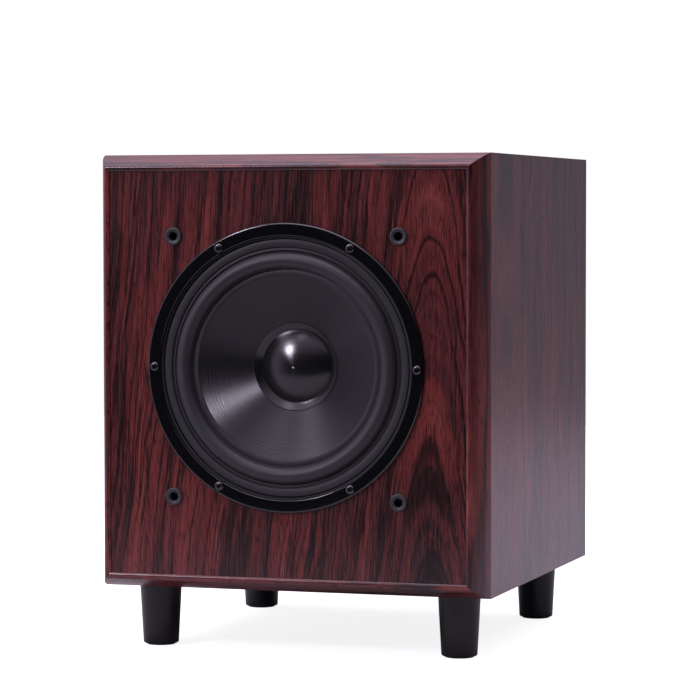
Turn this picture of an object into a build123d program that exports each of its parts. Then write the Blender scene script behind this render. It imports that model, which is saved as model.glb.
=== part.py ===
"""Powered subwoofer: an eight-inch driver and a plate amplifier in a board cabinet on four tall feet.

Frame: +Z up, the front faces -Y, and the origin is on the floor under the middle of the bounding box.
All sizes are in millimetres.
"""

from build123d import *
from math import cos, hypot, pi, radians, sin, sqrt, tan
import os

os.makedirs("parts", exist_ok=True)

# ---------------------------------------------------------------- cabinet sizes
CABINET_WIDTH = 310.0
CABINET_HEIGHT = 334.5
CABINET_DEPTH = 333.5
PANEL = 12.7  # half-inch board, all round
BAFFLE = 18.0
BAFFLE_RECESS = 1.7  # baffle face behind the nose of the frame
MOULD_REACH = 24.8  # how far back the ovolo starts on the outer face
MOULD_WIDTH = 8.0  # how far in the ovolo runs
MOULD_END = 1.0  # depth where the ovolo meets the nose bead
MOULD_ARRIS = 10.0  # degrees between the ovolo and the outer face where they meet
FOOT_HEIGHT = 49.0

# ---------------------------------------------------------------- driver sizes
DRIVER_RISE = 5.15  # driver centre above the middle of the cabinet
RING_OUTER = 109.9
RING_INNER = 100.2
RING_PROUD = 3.0
RING_ROUND = 1.5
SCREW_CIRCLE = 104.6
SCREW_COUNT = 6
FLANGE_OUTER = 108.2
FLANGE_SHEET = 1.6
DRIVER_GASKET = 1.2
CUTOUT = 101.0
SEAT_OUTER = 98.4
SEAT_INNER = 89.4
SEAT_DEPTH = 4.6
ROLL_OUTER = 88.0
ROLL_INNER = 75.3
ROLL_BASE = 3.5
ROLL_WALL = 0.9
LANDING_INNER = 70.3
LANDING_SHEET = 0.8
CONE_EDGE = 74.5
CONE_WALL = 1.2
CONE_SLOPE = 0.6216  # depth gained for each millimetre inward
CAP_SEAT = 2.3  # the cap stands this far outside the former
CAP_LIP_WIDTH = 5.5
CAP_WALL = 0.8
CAP_RISE = 9.6
FORMER_INNER = 25.0
FORMER_WALL = 0.5
FORMER_PROUD = 1.15  # the former ends this far in front of the cone's neck
FORMER_BACK = 87.0
WINDING_WALL = 0.9
WINDING_LENGTH = 20.0
SPIDER_DEPTH = 52.0
SPIDER_OUTER = 60.0
SPIDER_SHEET = 0.7
NECK_OUTER = 50.0
TOP_PLATE_DEPTH = 72.0
TOP_PLATE_THICK = 8.0
MAGNET_OUTER = 58.0
MAGNET_SET_BACK = 4.9  # the magnet's bore stands this far outside the gap
MAGNET_THICK = 18.0
YOKE_THICK = 8.0
COIL_GAP = 0.7  # air each side of the winding and its former

# ---------------------------------------------------------------- amplifier sizes
PLATE_WIDTH = 170.0
PLATE_HEIGHT = 244.0
PLATE_THICK = 2.5
PLATE_BORDER = 10.0
AMP_GASKET = 1.0
HEATSINK_WIDTH = 150.0
HEATSINK_HEIGHT = 44.0
HEATSINK_DEPTH = 18.0
HEATSINK_BASE = 3.0
FIN_COUNT = 17
FIN_THICK = 1.6
BOARD_GAP = 16.0  # circuit board behind the plate's inner face
BOARD_THICK = 1.6

# ---------------------------------------------------------------- places worked out from the sizes
ROLL_RADIUS = (ROLL_OUTER - ROLL_INNER) / 2
FRONT_PROUD = ROLL_RADIUS - ROLL_BASE  # the surround is the foremost piece
REAR_PROUD = AMP_GASKET + PLATE_THICK + HEATSINK_DEPTH
NOSE_Y = (FRONT_PROUD - CABINET_DEPTH - REAR_PROUD) / 2
REAR_Y = NOSE_Y + CABINET_DEPTH
CABINET_BASE = FOOT_HEIGHT
CABINET_TOP = CABINET_BASE + CABINET_HEIGHT
MIDDLE_Z = CABINET_BASE + CABINET_HEIGHT / 2
DRIVER_Z = MIDDLE_Z + DRIVER_RISE
AMP_Z = MIDDLE_Z
FORMER_OUTER = FORMER_INNER + FORMER_WALL
WINDING_OUTER = FORMER_OUTER + WINDING_WALL
GAP_OUTER = WINDING_OUTER + COIL_GAP
MAGNET_INNER = GAP_OUTER + MAGNET_SET_BACK
INNER_WIDTH = CABINET_WIDTH - 2 * PANEL
INNER_HEIGHT = CABINET_HEIGHT - 2 * PANEL
PLATE_IN = REAR_Y + AMP_GASKET
PLATE_OUT = PLATE_IN + PLATE_THICK
BOARD_REAR = PLATE_IN - BOARD_GAP
BOARD_FRONT = BOARD_REAR - BOARD_THICK

DRIVER_AXIS = Axis((0, NOSE_Y, DRIVER_Z), (0, 1, 0))
DRIVER_SECTION = Plane(origin=(0, NOSE_Y, DRIVER_Z), x_dir=(1, 0, 0), z_dir=(0, 0, 1))


def front_plane(depth, z=DRIVER_Z):
    """Plane that faces forward, a given depth behind the nose."""
    return Plane(origin=(0, NOSE_Y + depth, z), x_dir=(1, 0, 0), z_dir=(0, -1, 0))


def rear_plane(y):
    """Plane that faces backward, centred on the amplifier; x runs right as seen from behind."""
    return Plane(origin=(0, y, AMP_Z), x_dir=(-1, 0, 0), z_dir=(0, 1, 0))


def section(*points):
    """Closed outline of (radius, depth) points."""
    Polygon(*points, align=None)


def disc(plane, radius, amount, at=(0, 0), mode=Mode.ADD):
    """Cylinder of a given radius, raised from a plane."""
    with BuildSketch(plane) as outline:
        with Locations(at):
            Circle(radius)
    extrude(outline.sketch, amount=amount, mode=mode)


def slab(plane, width, height, amount, at=(0, 0), mode=Mode.ADD):
    """Rectangular block, raised from a plane."""
    with BuildSketch(plane) as outline:
        with Locations(at):
            Rectangle(width, height)
    extrude(outline.sketch, amount=amount, mode=mode)


# ================================================================ cabinet
def moulded_board(face_centre, inward, length):
    """Board with the ovolo and nose bead on its front edge and a mitre at each end."""
    into = Vector(*inward)
    along = into.cross(Vector(0, 1, 0))
    profile = Plane(origin=face_centre, x_dir=into, z_dir=along)
    with BuildSketch(profile) as outline:
        with BuildLine():
            Line((0, CABINET_DEPTH), (0, MOULD_REACH))
            TangentArc(
                (0, MOULD_REACH),
                (MOULD_WIDTH, MOULD_END),
                tangent=(sin(radians(MOULD_ARRIS)), -cos(radians(MOULD_ARRIS))),
            )
            ThreePointArc((MOULD_WIDTH, MOULD_END), ((MOULD_WIDTH + PANEL) / 2, 0), (PANEL, MOULD_END))
            Line((PANEL, MOULD_END), (PANEL, CABINET_DEPTH))
            Line((PANEL, CABINET_DEPTH), (0, CABINET_DEPTH))
        make_face()
    extrude(outline.sketch, amount=length / 2, both=True)
    for end in (-1, 1):
        corner = Vector(*face_centre) + along * (end * length / 2)
        split(bisect_by=Plane(origin=corner, z_dir=-(along * end + into)), keep=Keep.TOP)


with BuildPart() as side_panel_left:
    moulded_board((-CABINET_WIDTH / 2, NOSE_Y, MIDDLE_Z), (1, 0, 0), CABINET_HEIGHT)
side_panel_left.part.label = "side_panel_left"
export_step(side_panel_left.part, "parts/side_panel_left.step")

with BuildPart() as side_panel_right:
    moulded_board((CABINET_WIDTH / 2, NOSE_Y, MIDDLE_Z), (-1, 0, 0), CABINET_HEIGHT)
side_panel_right.part.label = "side_panel_right"
export_step(side_panel_right.part, "parts/side_panel_right.step")

with BuildPart() as top_panel:
    moulded_board((0, NOSE_Y, CABINET_TOP), (0, 0, -1), CABINET_WIDTH)
top_panel.part.label = "top_panel"
export_step(top_panel.part, "parts/top_panel.step")

# Four feet and a flared port stand under the bottom panel.
FOOT_INSET_X = 33.1
FOOT_FRONT = 55.5
FOOT_REAR_INSET = 39.3
FOOT_TOP_R = 16.5
FOOT_BOTTOM_R = 13.8
FOOT_SCREW_R = 2.4
FOOT_SCREW_BITE = 10.5
PORT_DEPTH = 178.0  # port axis behind the nose
PORT_BORE = 28.0
PORT_WALL = 2.5
PORT_LENGTH = 150.0
PORT_MOUTH = 38.0
PORT_FLARE = 16.0
PORT_RIM = 48.0
PORT_RIM_THICK = 3.0
PORT_FLARE_BULGE = 3.0
PORT_COLLAR = PORT_MOUTH + PORT_WALL
PORT_Y = NOSE_Y + PORT_DEPTH
FOOT_X = CABINET_WIDTH / 2 - FOOT_INSET_X
FOOT_SPOTS = {
    "foot_front_left": (-FOOT_X, NOSE_Y + FOOT_FRONT),
    "foot_front_right": (FOOT_X, NOSE_Y + FOOT_FRONT),
    "foot_rear_left": (-FOOT_X, REAR_Y - FOOT_REAR_INSET),
    "foot_rear_right": (FOOT_X, REAR_Y - FOOT_REAR_INSET),
}

with BuildPart() as bottom_panel:
    moulded_board((0, NOSE_Y, CABINET_BASE), (0, 0, 1), CABINET_WIDTH)
    disc(Plane.XY.offset(CABINET_BASE), PORT_COLLAR, PANEL, (0, PORT_Y), Mode.SUBTRACT)
    for spot in FOOT_SPOTS.values():
        disc(Plane.XY.offset(CABINET_BASE), FOOT_SCREW_R, FOOT_SCREW_BITE, spot, Mode.SUBTRACT)
bottom_panel.part.label = "bottom_panel"
export_step(bottom_panel.part, "parts/bottom_panel.step")

# Baffle: inset in the frame, with the driver's rebate and the grille sockets' blind holes.
REBATE_SLACK = 0.4
DRIVER_SCREW_R = 1.75
DRIVER_SCREW_LENGTH = 20.0
DRIVER_SCREW_SLACK = 0.4
SOCKET_X = 89.7
SOCKET_Z = 99.6
SOCKET_SLEEVE = 5.0
SOCKET_LENGTH = 14.0
SOCKET_FLANGE = 6.8
SOCKET_PROUD = 1.8
SOCKET_BORE = 3.2
REBATE_DEPTH = FLANGE_SHEET + DRIVER_GASKET
RING_FACE = BAFFLE_RECESS - RING_PROUD
HEAD_SINK = 1.2  # the screw heads sit this far into the trim ring
HEAD_POCKET_R = 4.2
SCREW_SEAT = RING_FACE + HEAD_SINK

with BuildPart() as front_baffle:
    slab(front_plane(BAFFLE_RECESS, MIDDLE_Z), INNER_WIDTH, INNER_HEIGHT, -BAFFLE)
    disc(front_plane(BAFFLE_RECESS), CUTOUT, -BAFFLE, mode=Mode.SUBTRACT)
    disc(front_plane(BAFFLE_RECESS), FLANGE_OUTER + REBATE_SLACK, -REBATE_DEPTH, mode=Mode.SUBTRACT)
    with BuildSketch(front_plane(BAFFLE_RECESS)):
        with GridLocations(2 * SOCKET_X, 2 * SOCKET_Z, 2, 2):
            Circle(SOCKET_SLEEVE)
    extrude(amount=-SOCKET_LENGTH, mode=Mode.SUBTRACT)
    with BuildSketch(front_plane(SCREW_SEAT)):
        with PolarLocations(SCREW_CIRCLE, SCREW_COUNT):
            Circle(DRIVER_SCREW_R)
    extrude(amount=-DRIVER_SCREW_LENGTH, mode=Mode.SUBTRACT)
front_baffle.part.label = "front_baffle"
export_step(front_baffle.part, "parts/front_baffle.step")

# Rear panel: set between the sides, with the amplifier's opening and its screw holes.
AMP_SCREW_R = 1.7
AMP_SCREW_LENGTH = 12.0
OPENING_WIDTH = PLATE_WIDTH - 2 * PLATE_BORDER
OPENING_HEIGHT = PLATE_HEIGHT - 2 * PLATE_BORDER
AMP_SCREW_U = (PLATE_WIDTH - PLATE_BORDER) / 2
AMP_SCREW_V = (PLATE_HEIGHT - PLATE_BORDER) / 2
AMP_SCREW_SPOTS = [(u, v) for u in (-AMP_SCREW_U, AMP_SCREW_U) for v in (-1, -1 / 3, 1 / 3, 1)]
AMP_SCREW_SPOTS = [(u, v * AMP_SCREW_V) for u, v in AMP_SCREW_SPOTS]
AMP_SCREW_SPOTS += [(0, -AMP_SCREW_V), (0, AMP_SCREW_V)]

with BuildPart() as rear_panel:
    slab(rear_plane(REAR_Y), INNER_WIDTH, INNER_HEIGHT, -PANEL)
    slab(rear_plane(REAR_Y), OPENING_WIDTH, OPENING_HEIGHT, -PANEL, mode=Mode.SUBTRACT)
    with BuildSketch(rear_plane(PLATE_OUT)):
        with Locations(*AMP_SCREW_SPOTS):
            Circle(AMP_SCREW_R)
    extrude(amount=-AMP_SCREW_LENGTH, mode=Mode.SUBTRACT)
rear_panel.part.label = "rear_panel"
export_step(rear_panel.part, "parts/rear_panel.step")

# Window brace: ties the four sides together between the driver's magnet and the port.
BRACE_DEPTH = 122.0
BRACE_THICK = 12.7
BRACE_RAIL = 42.0
BRACE_CORNER = 25.0

with BuildPart() as window_brace:
    slab(front_plane(BRACE_DEPTH, MIDDLE_Z), INNER_WIDTH, INNER_HEIGHT, -BRACE_THICK)
    with BuildSketch(front_plane(BRACE_DEPTH, MIDDLE_Z)):
        RectangleRounded(INNER_WIDTH - 2 * BRACE_RAIL, INNER_HEIGHT - 2 * BRACE_RAIL, BRACE_CORNER)
    extrude(amount=-BRACE_THICK, mode=Mode.SUBTRACT)
window_brace.part.label = "window_brace"
export_step(window_brace.part, "parts/window_brace.step")

# Wadding: a fleece pad under the top panel, behind the brace.
WADDING_THICK = 24.0
WADDING_LENGTH = 110.0
WADDING_MARGIN = 18.0
WADDING_SOFTNESS = 9.0

with BuildPart() as wadding:
    with BuildSketch(Plane.XY.offset(CABINET_TOP - PANEL)):
        with Locations((0, NOSE_Y + BRACE_DEPTH + BRACE_THICK + WADDING_MARGIN + WADDING_LENGTH / 2)):
            RectangleRounded(INNER_WIDTH - 2 * WADDING_MARGIN, WADDING_LENGTH, WADDING_SOFTNESS)
    extrude(amount=-WADDING_THICK)
    fillet(wadding.faces().sort_by(Axis.Z)[0].edges(), WADDING_SOFTNESS / 2)
wadding.part.label = "wadding"
export_step(wadding.part, "parts/wadding.step")

# Flared port: fires down between the feet.
with BuildPart() as port_tube:
    with BuildSketch(Plane(origin=(0, PORT_Y, CABINET_BASE), x_dir=(1, 0, 0), z_dir=(0, -1, 0))):
        with BuildLine():
            Polyline(
                (PORT_BORE, PORT_FLARE - PORT_RIM_THICK),
                (PORT_BORE, PORT_LENGTH),
                (PORT_BORE + PORT_WALL, PORT_LENGTH),
                (PORT_BORE + PORT_WALL, PORT_FLARE),
                (PORT_COLLAR, PANEL),
                (PORT_COLLAR, 0),
                (PORT_RIM, 0),
                (PORT_RIM, -PORT_RIM_THICK),
                (PORT_MOUTH, -PORT_RIM_THICK),
            )
            SagittaArc(
                (PORT_MOUTH, -PORT_RIM_THICK),
                (PORT_BORE, PORT_FLARE - PORT_RIM_THICK),
                PORT_FLARE_BULGE,
            )
        make_face()
    revolve(axis=Axis((0, PORT_Y, 0), (0, 0, 1)))
port_tube.part.label = "port_tube"
export_step(port_tube.part, "parts/port_tube.step")

# ---------------------------------------------------------------- feet
PAD_R = 11.0
PAD_THICK = 2.0
PAD_PROUD = 1.0
FOOT_WELL_R = 5.5
FOOT_WELL_TOP = 30.0
FOOT_HEAD_R = 4.8
FOOT_HEAD_THICK = 3.2
FOOT_EDGE = 1.4

for foot_name, (foot_x, foot_y) in FOOT_SPOTS.items():
    with BuildPart() as foot:
        with BuildSketch(Plane(origin=(foot_x, foot_y, 0), x_dir=(1, 0, 0), z_dir=(0, -1, 0))):
            section(
                (FOOT_SCREW_R, FOOT_WELL_TOP),
                (FOOT_WELL_R, FOOT_WELL_TOP),
                (FOOT_WELL_R, PAD_THICK),
                (PAD_R, PAD_THICK),
                (PAD_R, PAD_PROUD),
                (FOOT_BOTTOM_R, PAD_PROUD),
                (FOOT_TOP_R, FOOT_HEIGHT),
                (FOOT_SCREW_R, FOOT_HEIGHT),
            )
        revolve(axis=Axis((foot_x, foot_y, 0), (0, 0, 1)))
        rim = foot.edges().filter_by(GeomType.CIRCLE).group_by(Axis.Z)[0].sort_by(SortBy.LENGTH)[-1]
        fillet(rim, FOOT_EDGE)
    foot.part.label = foot_name
    export_step(foot.part, f"parts/{foot_name}.step")

with BuildPart() as foot_pads:
    with BuildSketch(Plane.XY):
        with Locations(*FOOT_SPOTS.values()):
            Circle(PAD_R)
    extrude(amount=PAD_THICK)
foot_pads.part.label = "foot_pads"
export_step(foot_pads.part, "parts/foot_pads.step")

with BuildPart() as foot_screws:
    with BuildSketch(Plane.XY.offset(FOOT_WELL_TOP - FOOT_HEAD_THICK)):
        with Locations(*FOOT_SPOTS.values()):
            Circle(FOOT_HEAD_R)
    extrude(amount=FOOT_HEAD_THICK)
    with BuildSketch(Plane.XY.offset(FOOT_WELL_TOP)):
        with Locations(*FOOT_SPOTS.values()):
            Circle(FOOT_SCREW_R)
    extrude(amount=FOOT_HEIGHT - FOOT_WELL_TOP + FOOT_SCREW_BITE)
    with BuildSketch(Plane.XY.offset(FOOT_WELL_TOP - FOOT_HEAD_THICK)):
        with Locations(*FOOT_SPOTS.values()):
            RegularPolygon(FOOT_HEAD_R / 2, 6)
    extrude(amount=FOOT_HEAD_THICK / 2, mode=Mode.SUBTRACT)
foot_screws.part.label = "foot_screws"
export_step(foot_screws.part, "parts/foot_screws.step")

# ---------------------------------------------------------------- grille sockets
SOCKET_FLOOR = 2.0
PETAL_DEPTH = 3.0
PETAL_SLOT = 1.1
PETAL_REACH = 4.15
SOCKET_EDGE = 0.8

with BuildPart() as grille_sockets:
    with BuildSketch(front_plane(BAFFLE_RECESS)):
        with GridLocations(2 * SOCKET_X, 2 * SOCKET_Z, 2, 2):
            Circle(SOCKET_FLANGE)
    extrude(amount=SOCKET_PROUD)
    fillet(
        grille_sockets.faces().sort_by(Axis.Y)[:4].edges(),
        SOCKET_EDGE,
    )
    with BuildSketch(front_plane(BAFFLE_RECESS)):
        with GridLocations(2 * SOCKET_X, 2 * SOCKET_Z, 2, 2):
            Circle(SOCKET_SLEEVE)
    extrude(amount=-SOCKET_LENGTH)
    with BuildSketch(front_plane(BAFFLE_RECESS - SOCKET_PROUD)):
        with GridLocations(2 * SOCKET_X, 2 * SOCKET_Z, 2, 2):
            Circle(SOCKET_BORE)
    extrude(amount=SOCKET_FLOOR - SOCKET_PROUD - SOCKET_LENGTH, mode=Mode.SUBTRACT)
    with BuildSketch(front_plane(BAFFLE_RECESS - SOCKET_PROUD)):
        for socket_u in (-SOCKET_X, SOCKET_X):
            for socket_v in (-SOCKET_Z, SOCKET_Z):
                with Locations(*[Location((socket_u, socket_v), turn) for turn in (0, 45, 90, 135)]):
                    Rectangle(2 * PETAL_REACH, PETAL_SLOT)
    extrude(amount=-PETAL_DEPTH, mode=Mode.SUBTRACT)
grille_sockets.part.label = "grille_sockets"
export_step(grille_sockets.part, "parts/grille_sockets.step")

# ================================================================ driver, fixed pieces
with BuildPart() as trim_ring:
    with BuildSketch(DRIVER_SECTION):
        section(
            (RING_INNER, BAFFLE_RECESS),
            (RING_OUTER, BAFFLE_RECESS),
            (RING_OUTER, RING_FACE),
            (RING_INNER, RING_FACE),
        )
    revolve(axis=DRIVER_AXIS)
    front_edges = trim_ring.faces().sort_by(Axis.Y)[0].edges().sort_by(SortBy.LENGTH)
    fillet(front_edges[-1], RING_ROUND)
    fillet(trim_ring.faces().sort_by(Axis.Y)[0].edges().sort_by(SortBy.LENGTH)[0], RING_ROUND / 2)
    with BuildSketch(front_plane(RING_FACE)):
        with PolarLocations(SCREW_CIRCLE, SCREW_COUNT):
            Circle(DRIVER_SCREW_R + DRIVER_SCREW_SLACK)
    extrude(amount=-RING_PROUD, mode=Mode.SUBTRACT)
    with BuildSketch(front_plane(RING_FACE)):
        with PolarLocations(SCREW_CIRCLE, SCREW_COUNT):
            Circle(HEAD_POCKET_R)
    extrude(amount=-HEAD_SINK, mode=Mode.SUBTRACT)
trim_ring.part.label = "trim_ring"
export_step(trim_ring.part, "parts/trim_ring.step")

with BuildPart() as driver_gasket:
    with BuildSketch(front_plane(BAFFLE_RECESS + FLANGE_SHEET)):
        Circle(FLANGE_OUTER)
        Circle(CUTOUT + REBATE_SLACK, mode=Mode.SUBTRACT)
        with PolarLocations(SCREW_CIRCLE, SCREW_COUNT):
            Circle(DRIVER_SCREW_R + DRIVER_SCREW_SLACK, mode=Mode.SUBTRACT)
    extrude(amount=-DRIVER_GASKET)
driver_gasket.part.label = "driver_gasket"
export_step(driver_gasket.part, "parts/driver_gasket.step")

# Basket: pressed steel, from the flange through the surround's seat and six legs to the magnet.
BASKET_SHEET = 2.0
LEG_WIDTH = 16.0
WINDOW_OUTER = 85.0
WINDOW_INNER = 67.0
WINDOW_FRONT = 8.0
SPIDER_LAND_OUTER = 62.0
NECK_BACK = TOP_PLATE_DEPTH - BASKET_SHEET
SEAT_BACK = SEAT_DEPTH + FLANGE_SHEET

with BuildPart() as basket:
    with BuildSketch(DRIVER_SECTION):
        section(
            (FLANGE_OUTER, BAFFLE_RECESS),
            (FLANGE_OUTER, BAFFLE_RECESS + FLANGE_SHEET),
            (SEAT_OUTER + FLANGE_SHEET, BAFFLE_RECESS + FLANGE_SHEET),
            (SEAT_OUTER + FLANGE_SHEET, SEAT_BACK),
            (SEAT_INNER + BASKET_SHEET, SEAT_BACK),
            (SPIDER_LAND_OUTER + BASKET_SHEET, SPIDER_DEPTH),
            (SPIDER_LAND_OUTER, SPIDER_DEPTH + BASKET_SHEET),
            (NECK_OUTER, SPIDER_DEPTH + BASKET_SHEET),
            (NECK_OUTER, TOP_PLATE_DEPTH),
            (MAGNET_INNER, TOP_PLATE_DEPTH),
            (MAGNET_INNER, NECK_BACK),
            (NECK_OUTER - BASKET_SHEET, NECK_BACK),
            (NECK_OUTER - BASKET_SHEET, SPIDER_DEPTH),
            (SPIDER_LAND_OUTER, SPIDER_DEPTH),
            (SEAT_INNER, SEAT_BACK),
            (SEAT_INNER, SEAT_DEPTH),
            (SEAT_OUTER, SEAT_DEPTH),
            (SEAT_OUTER, BAFFLE_RECESS),
        )
    revolve(axis=DRIVER_AXIS)
    with BuildSketch(front_plane(WINDOW_FRONT)):
        Circle(WINDOW_OUTER)
        Circle(WINDOW_INNER, mode=Mode.SUBTRACT)
        with PolarLocations(0, 3):
            Rectangle(2 * SEAT_OUTER, LEG_WIDTH, mode=Mode.SUBTRACT)
    extrude(amount=WINDOW_FRONT - SPIDER_DEPTH, mode=Mode.SUBTRACT)
    with BuildSketch(front_plane(BAFFLE_RECESS)):
        with PolarLocations(SCREW_CIRCLE, SCREW_COUNT):
            Circle(DRIVER_SCREW_R + DRIVER_SCREW_SLACK)
    extrude(amount=-FLANGE_SHEET, mode=Mode.SUBTRACT)
basket.part.label = "basket"
export_step(basket.part, "parts/basket.step")

MAGNET_DEPTH = TOP_PLATE_DEPTH + TOP_PLATE_THICK
YOKE_DEPTH = MAGNET_DEPTH + MAGNET_THICK
POLE_R = FORMER_INNER - COIL_GAP
VENT_R = 8.0
STEEL_EDGE = 1.5

with BuildPart() as top_plate:
    with BuildSketch(front_plane(TOP_PLATE_DEPTH)):
        Circle(NECK_OUTER)
        Circle(GAP_OUTER, mode=Mode.SUBTRACT)
    extrude(amount=-TOP_PLATE_THICK)
top_plate.part.label = "top_plate"
export_step(top_plate.part, "parts/top_plate.step")

with BuildPart() as magnet:
    with BuildSketch(front_plane(MAGNET_DEPTH)):
        Circle(MAGNET_OUTER)
        Circle(MAGNET_INNER, mode=Mode.SUBTRACT)
    extrude(amount=-MAGNET_THICK)
    chamfer(magnet.edges().filter_by(GeomType.CIRCLE).sort_by(SortBy.LENGTH)[-2:], STEEL_EDGE)
magnet.part.label = "magnet"
export_step(magnet.part, "parts/magnet.step")

with BuildPart() as yoke:
    with BuildSketch(DRIVER_SECTION):
        section(
            (VENT_R, TOP_PLATE_DEPTH),
            (POLE_R, TOP_PLATE_DEPTH),
            (POLE_R, YOKE_DEPTH),
            (NECK_OUTER, YOKE_DEPTH),
            (NECK_OUTER, YOKE_DEPTH + YOKE_THICK - STEEL_EDGE),
            (NECK_OUTER - STEEL_EDGE, YOKE_DEPTH + YOKE_THICK),
            (VENT_R, YOKE_DEPTH + YOKE_THICK),
        )
    revolve(axis=DRIVER_AXIS)
yoke.part.label = "yoke"
export_step(yoke.part, "parts/yoke.step")

# Terminal strip: behind the spider's landing, in the gap between the two upper legs.
STRIP_WIDTH = 22.0
STRIP_INNER = 54.0
STRIP_OUTER = 80.0
STRIP_THICK = 2.0
STRIP_DEPTH = SPIDER_DEPTH + BASKET_SHEET
LUG_X = 6.0
LUG_R = 74.0
LUG_SIZE = 4.0
LUG_THICK = 0.8
LUG_LENGTH = 7.0
LUG_DEPTH = STRIP_DEPTH + STRIP_THICK

with BuildPart() as terminal_strip:
    slab(
        front_plane(STRIP_DEPTH),
        STRIP_WIDTH,
        STRIP_OUTER - STRIP_INNER,
        -STRIP_THICK,
        (0, (STRIP_OUTER + STRIP_INNER) / 2),
    )
    for lug_x in (-LUG_X, LUG_X):
        slab(front_plane(LUG_DEPTH), LUG_THICK, LUG_SIZE, -LUG_LENGTH, (lug_x, LUG_R))
terminal_strip.part.label = "terminal_strip"
export_step(terminal_strip.part, "parts/terminal_strip.step")

HEAD_R = 3.75
HEAD_THICK = 2.4
CROSS_LENGTH = 4.2
CROSS_WIDTH = 0.9
CROSS_DEPTH = 1.3

with BuildPart() as driver_screws:
    with BuildSketch(front_plane(SCREW_SEAT)):
        with PolarLocations(SCREW_CIRCLE, SCREW_COUNT):
            Circle(HEAD_R)
    extrude(amount=HEAD_THICK)
    fillet(driver_screws.faces().sort_by(Axis.Y)[:SCREW_COUNT].edges(), HEAD_THICK / 2)
    with BuildSketch(front_plane(SCREW_SEAT)):
        with PolarLocations(SCREW_CIRCLE, SCREW_COUNT):
            Circle(DRIVER_SCREW_R)
    extrude(amount=-DRIVER_SCREW_LENGTH)
    with BuildSketch(front_plane(SCREW_SEAT - HEAD_THICK)):
        with PolarLocations(SCREW_CIRCLE, SCREW_COUNT):
            Rectangle(CROSS_LENGTH, CROSS_WIDTH)
            Rectangle(CROSS_WIDTH, CROSS_LENGTH)
    extrude(amount=-CROSS_DEPTH, mode=Mode.SUBTRACT)
driver_screws.part.label = "driver_screws"
export_step(driver_screws.part, "parts/driver_screws.step")

# ================================================================ driver, moving pieces
CONE_TOP = ROLL_BASE + LANDING_SHEET


def cone_depth(radius):
    """Depth of the cone's front face at a radius."""
    return CONE_TOP + (LANDING_INNER - radius) * CONE_SLOPE


# Surround: rubber rim on the basket's seat, a raised half roll, and a landing on the cone.
RIM_FRONT = 2.4
RIM_OUTER = 97.5
RIM_INNER = 91.6
ROLL_MIDDLE = (ROLL_OUTER + ROLL_INNER) / 2
INNER_ROLL = ROLL_RADIUS - ROLL_WALL

with BuildPart() as surround:
    with BuildSketch(DRIVER_SECTION):
        with BuildLine():
            Polyline(
                (ROLL_OUTER, ROLL_BASE),
                (RIM_INNER, ROLL_BASE),
                (RIM_INNER, RIM_FRONT),
                (RIM_OUTER, RIM_FRONT),
                (RIM_OUTER, SEAT_DEPTH),
                (ROLL_OUTER - ROLL_WALL, SEAT_DEPTH),
                (ROLL_OUTER - ROLL_WALL, ROLL_BASE),
            )
            ThreePointArc(
                (ROLL_OUTER - ROLL_WALL, ROLL_BASE),
                (ROLL_MIDDLE, ROLL_BASE - INNER_ROLL),
                (ROLL_INNER + ROLL_WALL, ROLL_BASE),
            )
            Polyline(
                (ROLL_INNER + ROLL_WALL, ROLL_BASE),
                (ROLL_INNER + ROLL_WALL, CONE_TOP),
                (LANDING_INNER, CONE_TOP),
                (LANDING_INNER, ROLL_BASE),
                (ROLL_INNER, ROLL_BASE),
            )
            ThreePointArc(
                (ROLL_INNER, ROLL_BASE), (ROLL_MIDDLE, ROLL_BASE - ROLL_RADIUS), (ROLL_OUTER, ROLL_BASE)
            )
        make_face()
    revolve(axis=DRIVER_AXIS)
surround.part.label = "surround"
export_step(surround.part, "parts/surround.step")

with BuildPart() as cone:
    with BuildSketch(DRIVER_SECTION):
        section(
            (CONE_EDGE, CONE_TOP),
            (LANDING_INNER, CONE_TOP),
            (FORMER_OUTER, cone_depth(FORMER_OUTER)),
            (FORMER_OUTER, cone_depth(FORMER_OUTER) + CONE_WALL),
            (LANDING_INNER, CONE_TOP + CONE_WALL),
            (CONE_EDGE, CONE_TOP + CONE_WALL),
        )
    revolve(axis=DRIVER_AXIS)
cone.part.label = "cone"
export_step(cone.part, "parts/cone.step")

CAP_RADIUS = FORMER_OUTER + CAP_SEAT
CAP_LIP = CAP_RADIUS + CAP_LIP_WIDTH
CAP_FOOT = cone_depth(CAP_RADIUS)
CAP_APEX = CAP_FOOT - CAP_WALL - CAP_RISE


def dome_arc(radius, foot, apex):
    """Three points on the dome's section: its foot, halfway in, and the middle."""
    rise = foot - apex
    sphere = (radius**2 + rise**2) / (2 * rise)
    halfway = apex + sphere - sqrt(sphere**2 - radius**2 / 4)
    return (radius, foot), (radius / 2, halfway), (0, apex)


with BuildPart() as dust_cap:
    with BuildSketch(DRIVER_SECTION):
        with BuildLine():
            Polyline(
                (CAP_RADIUS, CAP_FOOT - CAP_WALL),
                (CAP_LIP, cone_depth(CAP_LIP) - CAP_WALL),
                (CAP_LIP, cone_depth(CAP_LIP)),
                (CAP_RADIUS, CAP_FOOT),
                (CAP_RADIUS - CAP_WALL, CAP_FOOT - CAP_WALL / 2),
            )
            ThreePointArc(*dome_arc(CAP_RADIUS - CAP_WALL, CAP_FOOT - CAP_WALL / 2, CAP_APEX + CAP_WALL))
            Line((0, CAP_APEX + CAP_WALL), (0, CAP_APEX))
            ThreePointArc(*dome_arc(CAP_RADIUS, CAP_FOOT - CAP_WALL, CAP_APEX))
        make_face()
    revolve(axis=DRIVER_AXIS)
dust_cap.part.label = "dust_cap"
export_step(dust_cap.part, "parts/dust_cap.step")

FORMER_FRONT = cone_depth(FORMER_OUTER) - FORMER_PROUD

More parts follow.
